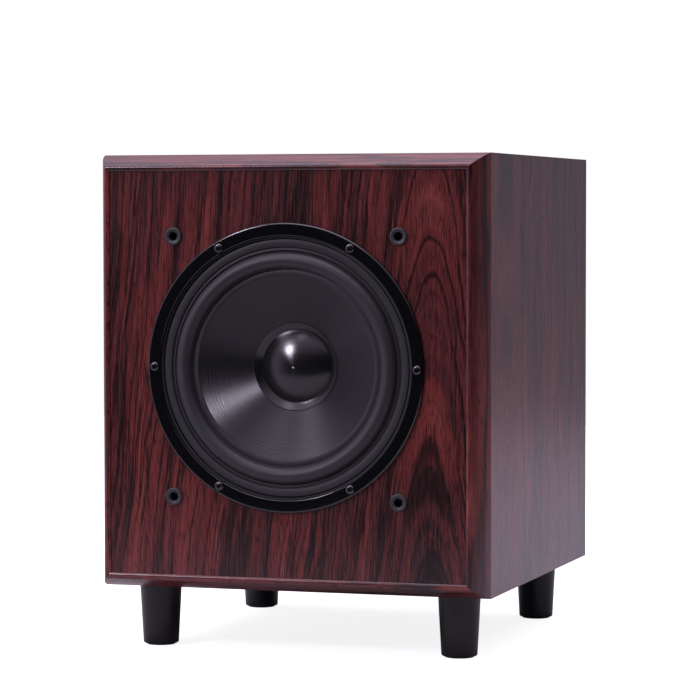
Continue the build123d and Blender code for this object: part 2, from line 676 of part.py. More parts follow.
with BuildPart() as coil_former:
    with BuildSketch(front_plane(FORMER_FRONT)):
        Circle(FORMER_OUTER)
        Circle(FORMER_INNER, mode=Mode.SUBTRACT)
    extrude(amount=FORMER_FRONT - FORMER_BACK)
coil_former.part.label = "coil_former"
export_step(coil_former.part, "parts/coil_former.step")

WINDING_BACK = FORMER_BACK - 1.0

with BuildPart() as voice_coil:
    with BuildSketch(front_plane(WINDING_BACK)):
        Circle(WINDING_OUTER)
        Circle(FORMER_OUTER, mode=Mode.SUBTRACT)
    extrude(amount=WINDING_LENGTH)
voice_coil.part.label = "voice_coil"
export_step(voice_coil.part, "parts/voice_coil.step")

# Spider: corrugated cloth disc that centres the coil.
SPIDER_COLLAR_WIDTH = 4.5
SPIDER_COLLAR = FORMER_OUTER + SPIDER_COLLAR_WIDTH
SPIDER_FLAT = 55.0
SPIDER_WAVES = 5
WAVE_HEIGHT = 1.6
WAVE_STEPS = 8 * SPIDER_WAVES


def spider_wave(back):
    """Points along the corrugations, on the front or back face."""
    span = SPIDER_FLAT - SPIDER_COLLAR
    face = SPIDER_DEPTH - (0 if back else SPIDER_SHEET)
    return [
        (
            SPIDER_COLLAR + span * step / WAVE_STEPS,
            face - WAVE_HEIGHT * (1 - cos(2 * pi * SPIDER_WAVES * step / WAVE_STEPS)),
        )
        for step in range(WAVE_STEPS + 1)
    ]


with BuildPart() as spider:
    with BuildSketch(DRIVER_SECTION):
        with BuildLine():
            Spline(*spider_wave(back=False))
            Polyline(
                (SPIDER_FLAT, SPIDER_DEPTH - SPIDER_SHEET),
                (SPIDER_OUTER, SPIDER_DEPTH - SPIDER_SHEET),
                (SPIDER_OUTER, SPIDER_DEPTH),
                (SPIDER_FLAT, SPIDER_DEPTH),
            )
            Spline(*spider_wave(back=True))
            Polyline(
                (SPIDER_COLLAR, SPIDER_DEPTH),
                (FORMER_OUTER, SPIDER_DEPTH),
                (FORMER_OUTER, SPIDER_DEPTH - SPIDER_SHEET),
                (SPIDER_COLLAR, SPIDER_DEPTH - SPIDER_SHEET),
            )
        make_face()
    revolve(axis=DRIVER_AXIS)
spider.part.label = "spider"
export_step(spider.part, "parts/spider.step")


def corner_radii(points):
    """Bend radius at each inner point, as large as its two runs allow."""
    radii = []
    for before, here, after in zip(points, points[1:], points[2:]):
        run_in = Vector(*here) - Vector(*before)
        run_out = Vector(*after) - Vector(*here)
        turn = radians(run_in.get_angle(run_out))
        radii.append(0.45 * min(run_in.length, run_out.length) / tan(turn / 2))
    return radii


def wire(points, radius):
    """Round wire along straight runs joined by tangent arcs."""
    with BuildLine() as route:
        FilletPolyline(*points, radius=corner_radii(points))
    with BuildSketch(Plane(origin=route.line @ 0, z_dir=route.line % 0)) as end:
        Circle(radius)
    sweep(end.sketch, path=route.line)


# Tinsel leads: flexible braid from the terminal strip, through the basket's window, to the cone's back.
TINSEL_R = 0.7
TINSEL_RUN = 11.0
TINSEL_END_R = 52.0
TINSEL_END = cone_depth(TINSEL_END_R) + CONE_WALL
TINSEL_BACK = TINSEL_RUN / sqrt(1 + CONE_SLOPE**2)  # the last run is square to the cone

with BuildPart() as tinsel_leads:
    for lead_x in (-LUG_X, LUG_X):
        wire(
            [
                (lead_x, NOSE_Y + STRIP_DEPTH, DRIVER_Z + LUG_R),
                (lead_x, NOSE_Y + STRIP_DEPTH - 11, DRIVER_Z + LUG_R),
                (lead_x, NOSE_Y + STRIP_DEPTH - 21, DRIVER_Z + LUG_R - 5),
                (
                    lead_x,
                    NOSE_Y + TINSEL_END + TINSEL_BACK,
                    DRIVER_Z + TINSEL_END_R + CONE_SLOPE * TINSEL_BACK,
                ),
                (lead_x, NOSE_Y + TINSEL_END, DRIVER_Z + TINSEL_END_R),
            ],
            TINSEL_R,
        )
tinsel_leads.part.label = "tinsel_leads"
export_step(tinsel_leads.part, "parts/tinsel_leads.step")

# ================================================================ amplifier, places on the plate
# Each place is (right, up) from the plate's centre, as seen from behind.
VOLUME_AT = (-38.0, 84.0)
CROSSOVER_AT = (38.0, 84.0)
LED_AT = (0.0, 98.0)
PHASE_AT = (-38.0, 50.0)
MODE_AT = (38.0, 50.0)
RCA_SPOTS = [(-56.0, 14.0), (-30.0, 14.0)]
TERMINALS_AT = (34.0, 14.0)
HEATSINK_AT = (0.0, -36.0)
TRANSFORMER_AT = (16.0, -38.0)
INLET_AT = (-40.0, -88.0)
ROCKER_AT = (22.0, -90.0)

# Sizes of what passes through the plate.
BUSHING_R = 3.5
SHAFT_R = 3.0
SHAFT_SLACK = 0.05
PLATE_SLACK = 0.2
LED_R = 2.5
SLIDER_WIDTH = 4.0
SLIDER_HEIGHT = 4.0
PHASE_TRAVEL = 4.0
MODE_TRAVEL = 3.0  # each way from the middle
RCA_BODY_R = 5.0
TERMINAL_BODY = (60.0, 30.0)
INLET_BODY = (28.0, 42.0)
ROCKER_BODY = (16.0, 23.6)

# Each slide switch: place, width of the slider's slot, and the slider's offset at rest.
SLIDE_SWITCHES = {
    "phase_slider": (PHASE_AT, PHASE_TRAVEL, -PHASE_TRAVEL / 2),
    "mode_slider": (MODE_AT, 2 * MODE_TRAVEL, 0.0),
}


def through_plate(width, height, at):
    """Rectangular hole right through the plate, with clearance."""
    size = (width + 2 * PLATE_SLACK, height + 2 * PLATE_SLACK)
    slab(rear_plane(PLATE_OUT), *size, -PLATE_THICK, at, Mode.SUBTRACT)


PLATE_CORNER = 6.0

with BuildPart() as amp_plate:
    with BuildSketch(rear_plane(PLATE_IN)):
        RectangleRounded(PLATE_WIDTH, PLATE_HEIGHT, PLATE_CORNER)
        with Locations(*AMP_SCREW_SPOTS):
            Circle(AMP_SCREW_R + PLATE_SLACK, mode=Mode.SUBTRACT)
        with Locations(VOLUME_AT, CROSSOVER_AT):
            Circle(BUSHING_R, mode=Mode.SUBTRACT)
        with Locations(LED_AT):
            Circle(LED_R, mode=Mode.SUBTRACT)
        with Locations(*RCA_SPOTS):
            Circle(RCA_BODY_R, mode=Mode.SUBTRACT)
    extrude(amount=PLATE_THICK)
    for place, travel, _ in SLIDE_SWITCHES.values():
        through_plate(SLIDER_WIDTH + travel, SLIDER_HEIGHT, place)
    slab(rear_plane(PLATE_OUT), *TERMINAL_BODY, -PLATE_THICK, TERMINALS_AT, Mode.SUBTRACT)
    slab(rear_plane(PLATE_OUT), *INLET_BODY, -PLATE_THICK, INLET_AT, Mode.SUBTRACT)
    slab(rear_plane(PLATE_OUT), *ROCKER_BODY, -PLATE_THICK, ROCKER_AT, Mode.SUBTRACT)
amp_plate.part.label = "amp_plate"
export_step(amp_plate.part, "parts/amp_plate.step")

with BuildPart() as amp_gasket:
    with BuildSketch(rear_plane(REAR_Y)):
        RectangleRounded(PLATE_WIDTH, PLATE_HEIGHT, PLATE_CORNER)
        Rectangle(OPENING_WIDTH, OPENING_HEIGHT, mode=Mode.SUBTRACT)
        with Locations(*AMP_SCREW_SPOTS):
            Circle(AMP_SCREW_R + PLATE_SLACK, mode=Mode.SUBTRACT)
    extrude(amount=AMP_GASKET)
amp_gasket.part.label = "amp_gasket"
export_step(amp_gasket.part, "parts/amp_gasket.step")

AMP_HEAD_R = 3.4
AMP_HEAD_THICK = 2.0
AMP_CROSS_LENGTH = 3.8

with BuildPart() as amp_screws:
    with BuildSketch(rear_plane(PLATE_OUT)):
        with Locations(*AMP_SCREW_SPOTS):
            Circle(AMP_HEAD_R)
    extrude(amount=AMP_HEAD_THICK)
    fillet(amp_screws.faces().sort_by(Axis.Y)[-len(AMP_SCREW_SPOTS) :].edges(), AMP_HEAD_THICK / 2)
    with BuildSketch(rear_plane(PLATE_OUT)):
        with Locations(*AMP_SCREW_SPOTS):
            Circle(AMP_SCREW_R)
    extrude(amount=-AMP_SCREW_LENGTH)
    with BuildSketch(rear_plane(PLATE_OUT + AMP_HEAD_THICK)):
        with Locations(*AMP_SCREW_SPOTS):
            Rectangle(AMP_CROSS_LENGTH, CROSS_WIDTH)
            Rectangle(CROSS_WIDTH, AMP_CROSS_LENGTH)
    extrude(amount=-CROSS_DEPTH, mode=Mode.SUBTRACT)
amp_screws.part.label = "amp_screws"
export_step(amp_screws.part, "parts/amp_screws.step")

FIN_PITCH = (HEATSINK_WIDTH - FIN_THICK) / (FIN_COUNT - 1)

with BuildPart() as heatsink:
    slab(rear_plane(PLATE_OUT), HEATSINK_WIDTH, HEATSINK_HEIGHT, HEATSINK_BASE, HEATSINK_AT)
    with BuildSketch(rear_plane(PLATE_OUT + HEATSINK_BASE)):
        with Locations(HEATSINK_AT):
            with GridLocations(FIN_PITCH, 0, FIN_COUNT, 1):
                Rectangle(FIN_THICK, HEATSINK_HEIGHT)
    extrude(amount=HEATSINK_DEPTH - HEATSINK_BASE)
heatsink.part.label = "heatsink"
export_step(heatsink.part, "parts/heatsink.step")

# ---------------------------------------------------------------- inside the plate
BOARD_WIDTH = 144.0
BOARD_TOP = 108.0
BOARD_BOTTOM = -2.0
CAPACITOR_SPOTS = [(-30.0, 74.0), (30.0, 74.0)]
CAPACITOR_R = 12.5
CAPACITOR_LENGTH = 40.0
TRANSFORMER_R = 34.0
TRANSFORMER_THICK = 32.0
TRANSFORMER_ROUND = 8.0

with BuildPart() as circuit_board:
    slab(
        rear_plane(BOARD_REAR),
        BOARD_WIDTH,
        BOARD_TOP - BOARD_BOTTOM,
        -BOARD_THICK,
        (0, (BOARD_TOP + BOARD_BOTTOM) / 2),
    )
circuit_board.part.label = "circuit_board"
export_step(circuit_board.part, "parts/circuit_board.step")

CAN_ROUND = 1.0

with BuildPart() as capacitors:
    with BuildSketch(rear_plane(BOARD_FRONT)):
        with Locations(*CAPACITOR_SPOTS):
            Circle(CAPACITOR_R)
    extrude(amount=-CAPACITOR_LENGTH)
    fillet(capacitors.faces().sort_by(Axis.Y)[:2].edges(), CAN_ROUND)
capacitors.part.label = "capacitors"
export_step(capacitors.part, "parts/capacitors.step")

with BuildPart() as transformer:
    disc(rear_plane(PLATE_IN), TRANSFORMER_R, -TRANSFORMER_THICK, TRANSFORMER_AT)
    fillet(transformer.edges().filter_by(GeomType.CIRCLE), TRANSFORMER_ROUND)
transformer.part.label = "transformer"
export_step(transformer.part, "parts/transformer.step")

# ---------------------------------------------------------------- volume and crossover controls
POT_R = 8.5
BUSHING_PROUD = 5.0
NUT_R = 5.8
NUT_THICK = 2.0
SHAFT_INSIDE = 8.0
SHAFT_PROUD = 12.0
KNOB_ROUND = 0.5
KNOB_R = 11.0
KNOB_TIP_R = 9.6
KNOB_GAP = 1.0
KNOB_HEIGHT = 14.0
KNOB_WELL_R = 8.0
KNOB_WELL = 5.5
KNOB_ROUND = 1.2
GRIP_COUNT = 24
GRIP_R = 0.7
POINTER_WIDTH = 1.2
POINTER_DEPTH = 0.5

with BuildPart() as control_pots:
    for place in (VOLUME_AT, CROSSOVER_AT):
        disc(rear_plane(BOARD_REAR), POT_R, BOARD_GAP, place)
        disc(rear_plane(PLATE_IN), BUSHING_R, PLATE_THICK + BUSHING_PROUD, place)
        disc(
            rear_plane(PLATE_IN - SHAFT_INSIDE),
            SHAFT_R + SHAFT_SLACK,
            SHAFT_INSIDE + PLATE_THICK + BUSHING_PROUD,
            place,
            Mode.SUBTRACT,
        )
        with BuildSketch(rear_plane(PLATE_OUT)):
            with Locations(place):
                RegularPolygon(NUT_R, 6)
                Circle(BUSHING_R - SHAFT_SLACK, mode=Mode.SUBTRACT)
        extrude(amount=NUT_THICK)
control_pots.part.label = "control_pots"
export_step(control_pots.part, "parts/control_pots.step")

for control_name, place in (("volume", VOLUME_AT), ("crossover", CROSSOVER_AT)):
    with BuildPart() as shaft:
        shaft_length = SHAFT_INSIDE + PLATE_THICK + SHAFT_PROUD
        disc(rear_plane(PLATE_IN - SHAFT_INSIDE + SHAFT_SLACK), SHAFT_R, shaft_length, place)
    shaft.part.label = f"{control_name}_shaft"
    export_step(shaft.part, f"parts/{control_name}_shaft.step")

    KNOB_BASE = PLATE_OUT + KNOB_GAP
    with BuildPart() as knob:
        with BuildSketch(rear_plane(KNOB_BASE)):
            with Locations(place):
                Circle(KNOB_R)
        with BuildSketch(rear_plane(KNOB_BASE + KNOB_HEIGHT)):
            with Locations(place):
                Circle(KNOB_TIP_R)
        loft()
        fillet(knob.faces().sort_by(Axis.Y)[-1].edges(), KNOB_ROUND)
        with BuildSketch(rear_plane(KNOB_BASE)):
            with Locations(place):
                with PolarLocations(KNOB_R, GRIP_COUNT):
                    Circle(GRIP_R)
        extrude(amount=KNOB_HEIGHT - 2 * KNOB_ROUND, mode=Mode.SUBTRACT)
        disc(rear_plane(KNOB_BASE), KNOB_WELL_R, KNOB_WELL, place, Mode.SUBTRACT)
        disc(
            rear_plane(KNOB_BASE),
            SHAFT_R,
            PLATE_OUT - KNOB_BASE + SHAFT_PROUD + SHAFT_SLACK,
            place,
            Mode.SUBTRACT,
        )
        with BuildSketch(rear_plane(KNOB_BASE + KNOB_HEIGHT)):
            with Locations((place[0], place[1] + KNOB_TIP_R / 2)):
                Rectangle(POINTER_WIDTH, KNOB_TIP_R)
        extrude(amount=-POINTER_DEPTH, mode=Mode.SUBTRACT)
    knob.part.label = f"{control_name}_knob"
    export_step(knob.part, f"parts/{control_name}_knob.step")

# ---------------------------------------------------------------- slide switches
SWITCH_BODY = (20.0, 10.0)
SWITCH_WELL_DEPTH = 4.0
SLIDER_SLACK = 0.2
SLIDER_FOOT = 6.0
SLIDER_FOOT_THICK = 3.0
SLIDER_PROUD = 3.5

with BuildPart() as switch_bodies:
    for place, travel, _ in SLIDE_SWITCHES.values():
        slab(rear_plane(BOARD_REAR), *SWITCH_BODY, BOARD_GAP, place)
        slab(
            rear_plane(PLATE_IN),
            SLIDER_FOOT + travel + 2 * SLIDER_SLACK,
            SLIDER_FOOT + 2 * SLIDER_SLACK,
            -SWITCH_WELL_DEPTH,
            place,
            Mode.SUBTRACT,
        )
switch_bodies.part.label = "switch_bodies"
export_step(switch_bodies.part, "parts/switch_bodies.step")

for slider_name, (place, travel, rest) in SLIDE_SWITCHES.items():
    slider_at = (place[0] + rest, place[1])
    with BuildPart() as slider:
        slab(rear_plane(PLATE_IN - SLIDER_SLACK), SLIDER_FOOT, SLIDER_FOOT, -SLIDER_FOOT_THICK, slider_at)
        slab(
            rear_plane(PLATE_IN - SLIDER_SLACK),
            SLIDER_WIDTH,
            SLIDER_HEIGHT,
            SLIDER_SLACK + PLATE_THICK + SLIDER_PROUD,
            slider_at,
        )
        tip = slider.faces().sort_by(Axis.Y)[-1]
        fillet(tip.edges(), KNOB_ROUND)
        for notch in (-1.0, 0.0, 1.0):
            slab(
                rear_plane(PLATE_OUT + SLIDER_PROUD),
                0.4,
                SLIDER_HEIGHT,
                -0.5,
                (slider_at[0] + notch, slider_at[1]),
                Mode.SUBTRACT,
            )
    slider.part.label = slider_name
    export_step(slider.part, f"parts/{slider_name}.step")

# ---------------------------------------------------------------- power rocker
ROCKER_FLANGE = (19.0, 26.6)
ROCKER_FLANGE_THICK = 2.0
ROCKER_WELL = (12.6, 20.8)
ROCKER_WELL_DEPTH = 9.0
ROCKER_DEPTH = 14.0
ROCKER_WIDTH = 12.0
ROCKER_LENGTH = 18.4
ROCKER_TILT = 9.0
ROCKER_CROWN = 3.2
ROCKER_PEAK = 4.6
ROCKER_BELLY = 5.0
ROCKER_SKIRT = 1.0
ROCKER_PIVOT_SINK = 0.5
TRUNNION_R = 1.5
TRUNNION_REACH = 1.2
TRUNNION_SLACK = 0.05
ROCKER_FACE = PLATE_OUT + ROCKER_FLANGE_THICK
PIVOT_Y = ROCKER_FACE - 2.5
ROCKER_X = -ROCKER_AT[0]
ROCKER_Z = AMP_Z + ROCKER_AT[1]


def side_plane(x, y, z):
    """Plane across the cabinet: x runs back (+Y), y runs up (+Z), raised toward +X."""
    return Plane(origin=(x, y, z), x_dir=(0, 1, 0), z_dir=(1, 0, 0))


with BuildPart() as rocker_housing:
    slab(rear_plane(PLATE_OUT), *ROCKER_FLANGE, ROCKER_FLANGE_THICK, ROCKER_AT)
    slab(rear_plane(PLATE_OUT), *ROCKER_BODY, -PLATE_THICK - ROCKER_DEPTH, ROCKER_AT)
    slab(rear_plane(ROCKER_FACE), *ROCKER_WELL, -ROCKER_WELL_DEPTH - PLATE_THICK, ROCKER_AT, Mode.SUBTRACT)
    with BuildSketch(side_plane(ROCKER_X, PIVOT_Y, ROCKER_Z)):
        Circle(TRUNNION_R + TRUNNION_SLACK)
    extrude(amount=ROCKER_WELL[0] / 2 + TRUNNION_REACH, both=True, mode=Mode.SUBTRACT)
rocker_housing.part.label = "rocker_housing"
export_step(rocker_housing.part, "parts/rocker_housing.step")

# The rocker's face is a shallow V about the pivot; it rests tipped to its off side.
with BuildPart() as power_rocker:
    with BuildSketch(side_plane(ROCKER_X, PIVOT_Y, ROCKER_Z)):
        with Locations(Location((0, 0), ROCKER_TILT)):
            Polygon(
                (ROCKER_CROWN, 0),
                (ROCKER_PEAK, ROCKER_LENGTH / 2),
                (-ROCKER_SKIRT, ROCKER_LENGTH / 2),
                (-ROCKER_BELLY, ROCKER_LENGTH / 4),
                (-ROCKER_BELLY, -ROCKER_LENGTH / 4),
                (-ROCKER_SKIRT, -ROCKER_LENGTH / 2),
                (ROCKER_PEAK, -ROCKER_LENGTH / 2),
                align=None,
            )
    extrude(amount=ROCKER_WIDTH / 2, both=True)
    with BuildSketch(side_plane(ROCKER_X, PIVOT_Y, ROCKER_Z)):
        Circle(TRUNNION_R)
    extrude(amount=ROCKER_WELL[0] / 2 + TRUNNION_REACH - 2 * TRUNNION_SLACK, both=True)
power_rocker.part.label = "power_rocker"
export_step(power_rocker.part, "parts/power_rocker.step")

# ---------------------------------------------------------------- mains inlet with fuse drawer
INLET_FLANGE = (34.0, 50.0)
INLET_FLANGE_THICK = 2.5
INLET_DEPTH = 26.0
INLET_CORNER = 3.0
CAVITY = (24.6, 16.6)
CAVITY_DEPTH = 17.0
CAVITY_RISE = 7.5
CAVITY_CHAMFER = 4.2
BLADE = (2.0, 4.0)
BLADE_BEVEL = 0.4
BLADE_LENGTH = 13.5
BLADE_ROOT = 3.0
BLADE_PITCH = 7.0
EARTH_DROP = 2.0
DRAWER = (22.0, 8.0)
DRAWER_ROUND = 0.6
DRAWER_DROP = -13.5
DRAWER_DEPTH = 20.0
DRAWER_SLACK = 0.2
DRAWER_FACE = (24.0, 10.0)
DRAWER_FACE_THICK = 1.5
FUSE_BED = (18.0, 5.6)
FUSE_BED_LENGTH = 15.0
INLET_FACE = PLATE_OUT + INLET_FLANGE_THICK
CAVITY_AT = (INLET_AT[0], INLET_AT[1] + CAVITY_RISE)
DRAWER_AT = (INLET_AT[0], INLET_AT[1] + DRAWER_DROP)
BLADE_SPOTS = [
    (CAVITY_AT[0] - BLADE_PITCH, CAVITY_AT[1] + EARTH_DROP),
    (CAVITY_AT[0] + BLADE_PITCH, CAVITY_AT[1] + EARTH_DROP),
    (CAVITY_AT[0], CAVITY_AT[1] - EARTH_DROP),
]
BLADE_BACK = INLET_FACE - CAVITY_DEPTH - BLADE_ROOT

with BuildPart() as iec_inlet:
    with BuildSketch(rear_plane(PLATE_OUT)):
        with Locations(INLET_AT):
            RectangleRounded(*INLET_FLANGE, INLET_CORNER)
    extrude(amount=INLET_FLANGE_THICK)
    slab(rear_plane(PLATE_OUT), *INLET_BODY, -INLET_DEPTH, INLET_AT)
    with BuildSketch(rear_plane(INLET_FACE)) as cavity:
        with Locations(CAVITY_AT):
            Rectangle(*CAVITY)
        chamfer(cavity.vertices().group_by(Axis.Y)[-1], CAVITY_CHAMFER)
    extrude(amount=-CAVITY_DEPTH, mode=Mode.SUBTRACT)
    with BuildSketch(rear_plane(INLET_FACE - CAVITY_DEPTH)):
        with Locations(*BLADE_SPOTS):
            Rectangle(*BLADE)
    extrude(amount=-BLADE_ROOT, mode=Mode.SUBTRACT)
    slab(
        rear_plane(INLET_FACE),
        DRAWER[0] + 2 * DRAWER_SLACK,
        DRAWER[1] + 2 * DRAWER_SLACK,
        -DRAWER_DEPTH - DRAWER_SLACK,
        DRAWER_AT,
        Mode.SUBTRACT,
    )
iec_inlet.part.label = "iec_inlet"
export_step(iec_inlet.part, "parts/iec_inlet.step")

with BuildPart() as iec_pins:
    with BuildSketch(rear_plane(BLADE_BACK)):
        with Locations(*BLADE_SPOTS):
            Rectangle(*BLADE)
    extrude(amount=BLADE_ROOT + BLADE_LENGTH)
    chamfer(iec_pins.faces().sort_by(Axis.Y)[-3:].edges(), BLADE_BEVEL)
iec_pins.part.label = "iec_pins"
export_step(iec_pins.part, "parts/iec_pins.step")

with BuildPart() as fuse_drawer:
    slab(rear_plane(INLET_FACE + DRAWER_SLACK), *DRAWER, -DRAWER_DEPTH, DRAWER_AT)
    slab(rear_plane(INLET_FACE + DRAWER_SLACK), *DRAWER_FACE, DRAWER_FACE_THICK, DRAWER_AT)
    fillet(fuse_drawer.faces().sort_by(Axis.Y)[-1].edges(), DRAWER_ROUND)
    with BuildSketch(Plane.XY.offset(AMP_Z + DRAWER_AT[1] + DRAWER[1] / 2)):
        with Locations((-DRAWER_AT[0], INLET_FACE - DRAWER_DEPTH / 2)):
            Rectangle(FUSE_BED[0], FUSE_BED_LENGTH)
    extrude(amount=-FUSE_BED[1], mode=Mode.SUBTRACT)
fuse_drawer.part.label = "fuse_drawer"
export_step(fuse_drawer.part, "parts/fuse_drawer.step")

# ---------------------------------------------------------------- line inputs
RCA_WASHER_R = 6.8
RCA_WASHER = 1.2
RCA_SHELL_R = 4.15
RCA_CORE_R = 3.35
RCA_PIN_R = 1.6
RCA_SHELL_LENGTH = 8.6
RCA_CORE_SINK = 0.8
RCA_HOLE = 9.0
RCA_FACE = PLATE_OUT + RCA_WASHER

with BuildPart() as rca_insulators:
    for place in RCA_SPOTS:
        disc(rear_plane(BOARD_REAR), RCA_BODY_R, PLATE_OUT - BOARD_REAR, place)
        disc(rear_plane(PLATE_OUT), RCA_WASHER_R, RCA_WASHER, place)
        disc(rear_plane(RCA_FACE), RCA_CORE_R, RCA_SHELL_LENGTH - RCA_CORE_SINK, place)
        rca_mouth = RCA_FACE + RCA_SHELL_LENGTH - RCA_CORE_SINK
        disc(rear_plane(rca_mouth), RCA_PIN_R, -RCA_HOLE, place, Mode.SUBTRACT)
rca_insulators.part.label = "rca_insulators"
export_step(rca_insulators.part, "parts/rca_insulators.step")

with BuildPart() as rca_shells:
    with BuildSketch(rear_plane(RCA_FACE)):
        with Locations(*RCA_SPOTS):
            Circle(RCA_SHELL_R)
            Circle(RCA_CORE_R, mode=Mode.SUBTRACT)
    extrude(amount=RCA_SHELL_LENGTH)
rca_shells.part.label = "rca_shells"
export_step(rca_shells.part, "parts/rca_shells.step")

# ---------------------------------------------------------------- speaker-level terminals
TERMINAL_FLANGE = (66.0, 36.0)
TERMINAL_FLANGE_THICK = 2.5
LEVER_PITCH = 15.0
LEVER_WIDTH = 11.0
LEVER_TOP = 10.0
LEVER_DROP = 13.0
LEVER_THICK = 3.0
LEVER_PROUD = 1.2
LEVER_SLACK = 0.3
LEVER_HUB_R = 2.2
LEVER_PIN_R = 1.2
LEVER_PIN_REACH = 1.0
LEVER_SWING = 20.0
LEVER_REACH = hypot(LEVER_DROP, LEVER_HUB_R + LEVER_PROUD)  # farthest the lever's tip gets from its hinge
LEVER_WELL_DEPTH = 9.5
WIRE_DROP = -9.5
WIRE_HOLE_R = 1.75
WIRE_HOLE_DEPTH = 10.0
TERMINAL_FACE = PLATE_OUT + TERMINAL_FLANGE_THICK
LEVER_Z = AMP_Z + TERMINALS_AT[1] + LEVER_TOP
LEVER_Y = TERMINAL_FACE - LEVER_HUB_R
LEVER_SPOTS = {
    "terminal_lever_red_left": -1.5,
    "terminal_lever_black_left": -0.5,
    "terminal_lever_red_right": 0.5,
    "terminal_lever_black_right": 1.5,
}

with BuildPart() as terminal_block:
    slab(rear_plane(PLATE_OUT), *TERMINAL_FLANGE, TERMINAL_FLANGE_THICK, TERMINALS_AT)
    slab(rear_plane(PLATE_OUT), *TERMINAL_BODY, -PLATE_THICK - WIRE_HOLE_DEPTH, TERMINALS_AT)
    for step in LEVER_SPOTS.values():
        lever_u = TERMINALS_AT[0] + step * LEVER_PITCH
        slab(
            rear_plane(TERMINAL_FACE),
            LEVER_WIDTH + 2 * LEVER_SLACK,
            LEVER_REACH + LEVER_HUB_R + 2 * LEVER_SLACK,
            -LEVER_WELL_DEPTH,
            (lever_u, TERMINALS_AT[1] + LEVER_TOP + (LEVER_HUB_R - LEVER_REACH) / 2),
            Mode.SUBTRACT,
        )
        with BuildSketch(side_plane(-lever_u, LEVER_Y, LEVER_Z)):
            Circle(LEVER_PIN_R + SHAFT_SLACK)
        extrude(amount=LEVER_WIDTH / 2 + LEVER_SLACK + LEVER_PIN_REACH, both=True, mode=Mode.SUBTRACT)
        disc(
            rear_plane(TERMINAL_FACE),
            WIRE_HOLE_R,
            -WIRE_HOLE_DEPTH,
            (lever_u, TERMINALS_AT[1] + WIRE_DROP),
            Mode.SUBTRACT,
        )
terminal_block.part.label = "terminal_block"
export_step(terminal_block.part, "parts/terminal_block.step")

for lever_name, step in LEVER_SPOTS.items():
    lever_x = -(TERMINALS_AT[0] + step * LEVER_PITCH)
    with BuildPart() as lever:
        with BuildSketch(side_plane(lever_x, LEVER_Y, LEVER_Z)):
            Circle(LEVER_HUB_R)
            Polygon(
                (0, 0),
                (LEVER_HUB_R, 0),
                (LEVER_HUB_R + LEVER_PROUD, -0.3 * LEVER_DROP),
                (LEVER_HUB_R + LEVER_PROUD, -LEVER_DROP),
                (LEVER_HUB_R + LEVER_PROUD - LEVER_THICK, -LEVER_DROP),
                align=None,
            )
        extrude(amount=LEVER_WIDTH / 2, both=True)
        with BuildSketch(side_plane(lever_x, LEVER_Y, LEVER_Z)):
            Circle(LEVER_PIN_R)
        extrude(amount=LEVER_WIDTH / 2 + LEVER_PIN_REACH, both=True)
    lever.part.label = lever_name
    export_step(lever.part, f"parts/{lever_name}.step")

# ---------------------------------------------------------------- status light and inner leads
LED_PROUD = 1.6

with BuildPart() as status_led:
    disc(rear_plane(BOARD_REAR), LED_R, PLATE_OUT - BOARD_REAR + LED_PROUD, LED_AT)
    fillet(status_led.faces().sort_by(Axis.Y)[-1].edges(), LED_PROUD - 0.1)
status_led.part.label = "status_led"
export_step(status_led.part, "parts/status_led.step")

# Speaker leads: from the lugs back through the window brace to the circuit board.
LEAD_R = 1.1
LEAD_UP = 50.0  # where they meet the board, above its middle
LEAD_START = NOSE_Y + LUG_DEPTH + LUG_LENGTH
LEAD_SPAN = BOARD_FRONT - LEAD_START
LEAD_ROUTE = (  # share of the way back, half the gap between the two leads, drop below the lugs
    (0.142, LUG_X, 0.0),
    (0.339, 3.0, 5.0),
    (0.536, 1.8, 16.0),
)
LEAD_END_GAP = 2.6
LEAD_END_RUN = 42.0

with BuildPart() as speaker_leads:
    for lead_side in (-1, 1):
        wire(
            [
                (lead_side * LUG_X, LEAD_START, DRIVER_Z + LUG_R),
                *[
                    (lead_side * gap, LEAD_START + share * LEAD_SPAN, DRIVER_Z + LUG_R - drop)
                    for share, gap, drop in LEAD_ROUTE
                ],
                (lead_side * LEAD_END_GAP, BOARD_FRONT - LEAD_END_RUN, AMP_Z + LEAD_UP),
                (lead_side * LEAD_END_GAP, BOARD_FRONT, AMP_Z + LEAD_UP),
            ],
            LEAD_R,
        )
speaker_leads.part.label = "speaker_leads"
export_step(speaker_leads.part, "parts/speaker_leads.step")
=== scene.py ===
"""Looks of a powered subwoofer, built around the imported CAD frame.

The box's lining, the driver, the grille sockets, the plate amplifier and the studio are each one class.
Turned pieces come from one lathe, and what repeats comes from Geometry Nodes trees. Sizes in the classes are
millimetres, as in the CAD, and become metres where a mesh is made.
"""

import logging
import math
from dataclasses import dataclass
from enum import Enum

import bmesh
import bpy
from mathutils import Matrix, Vector


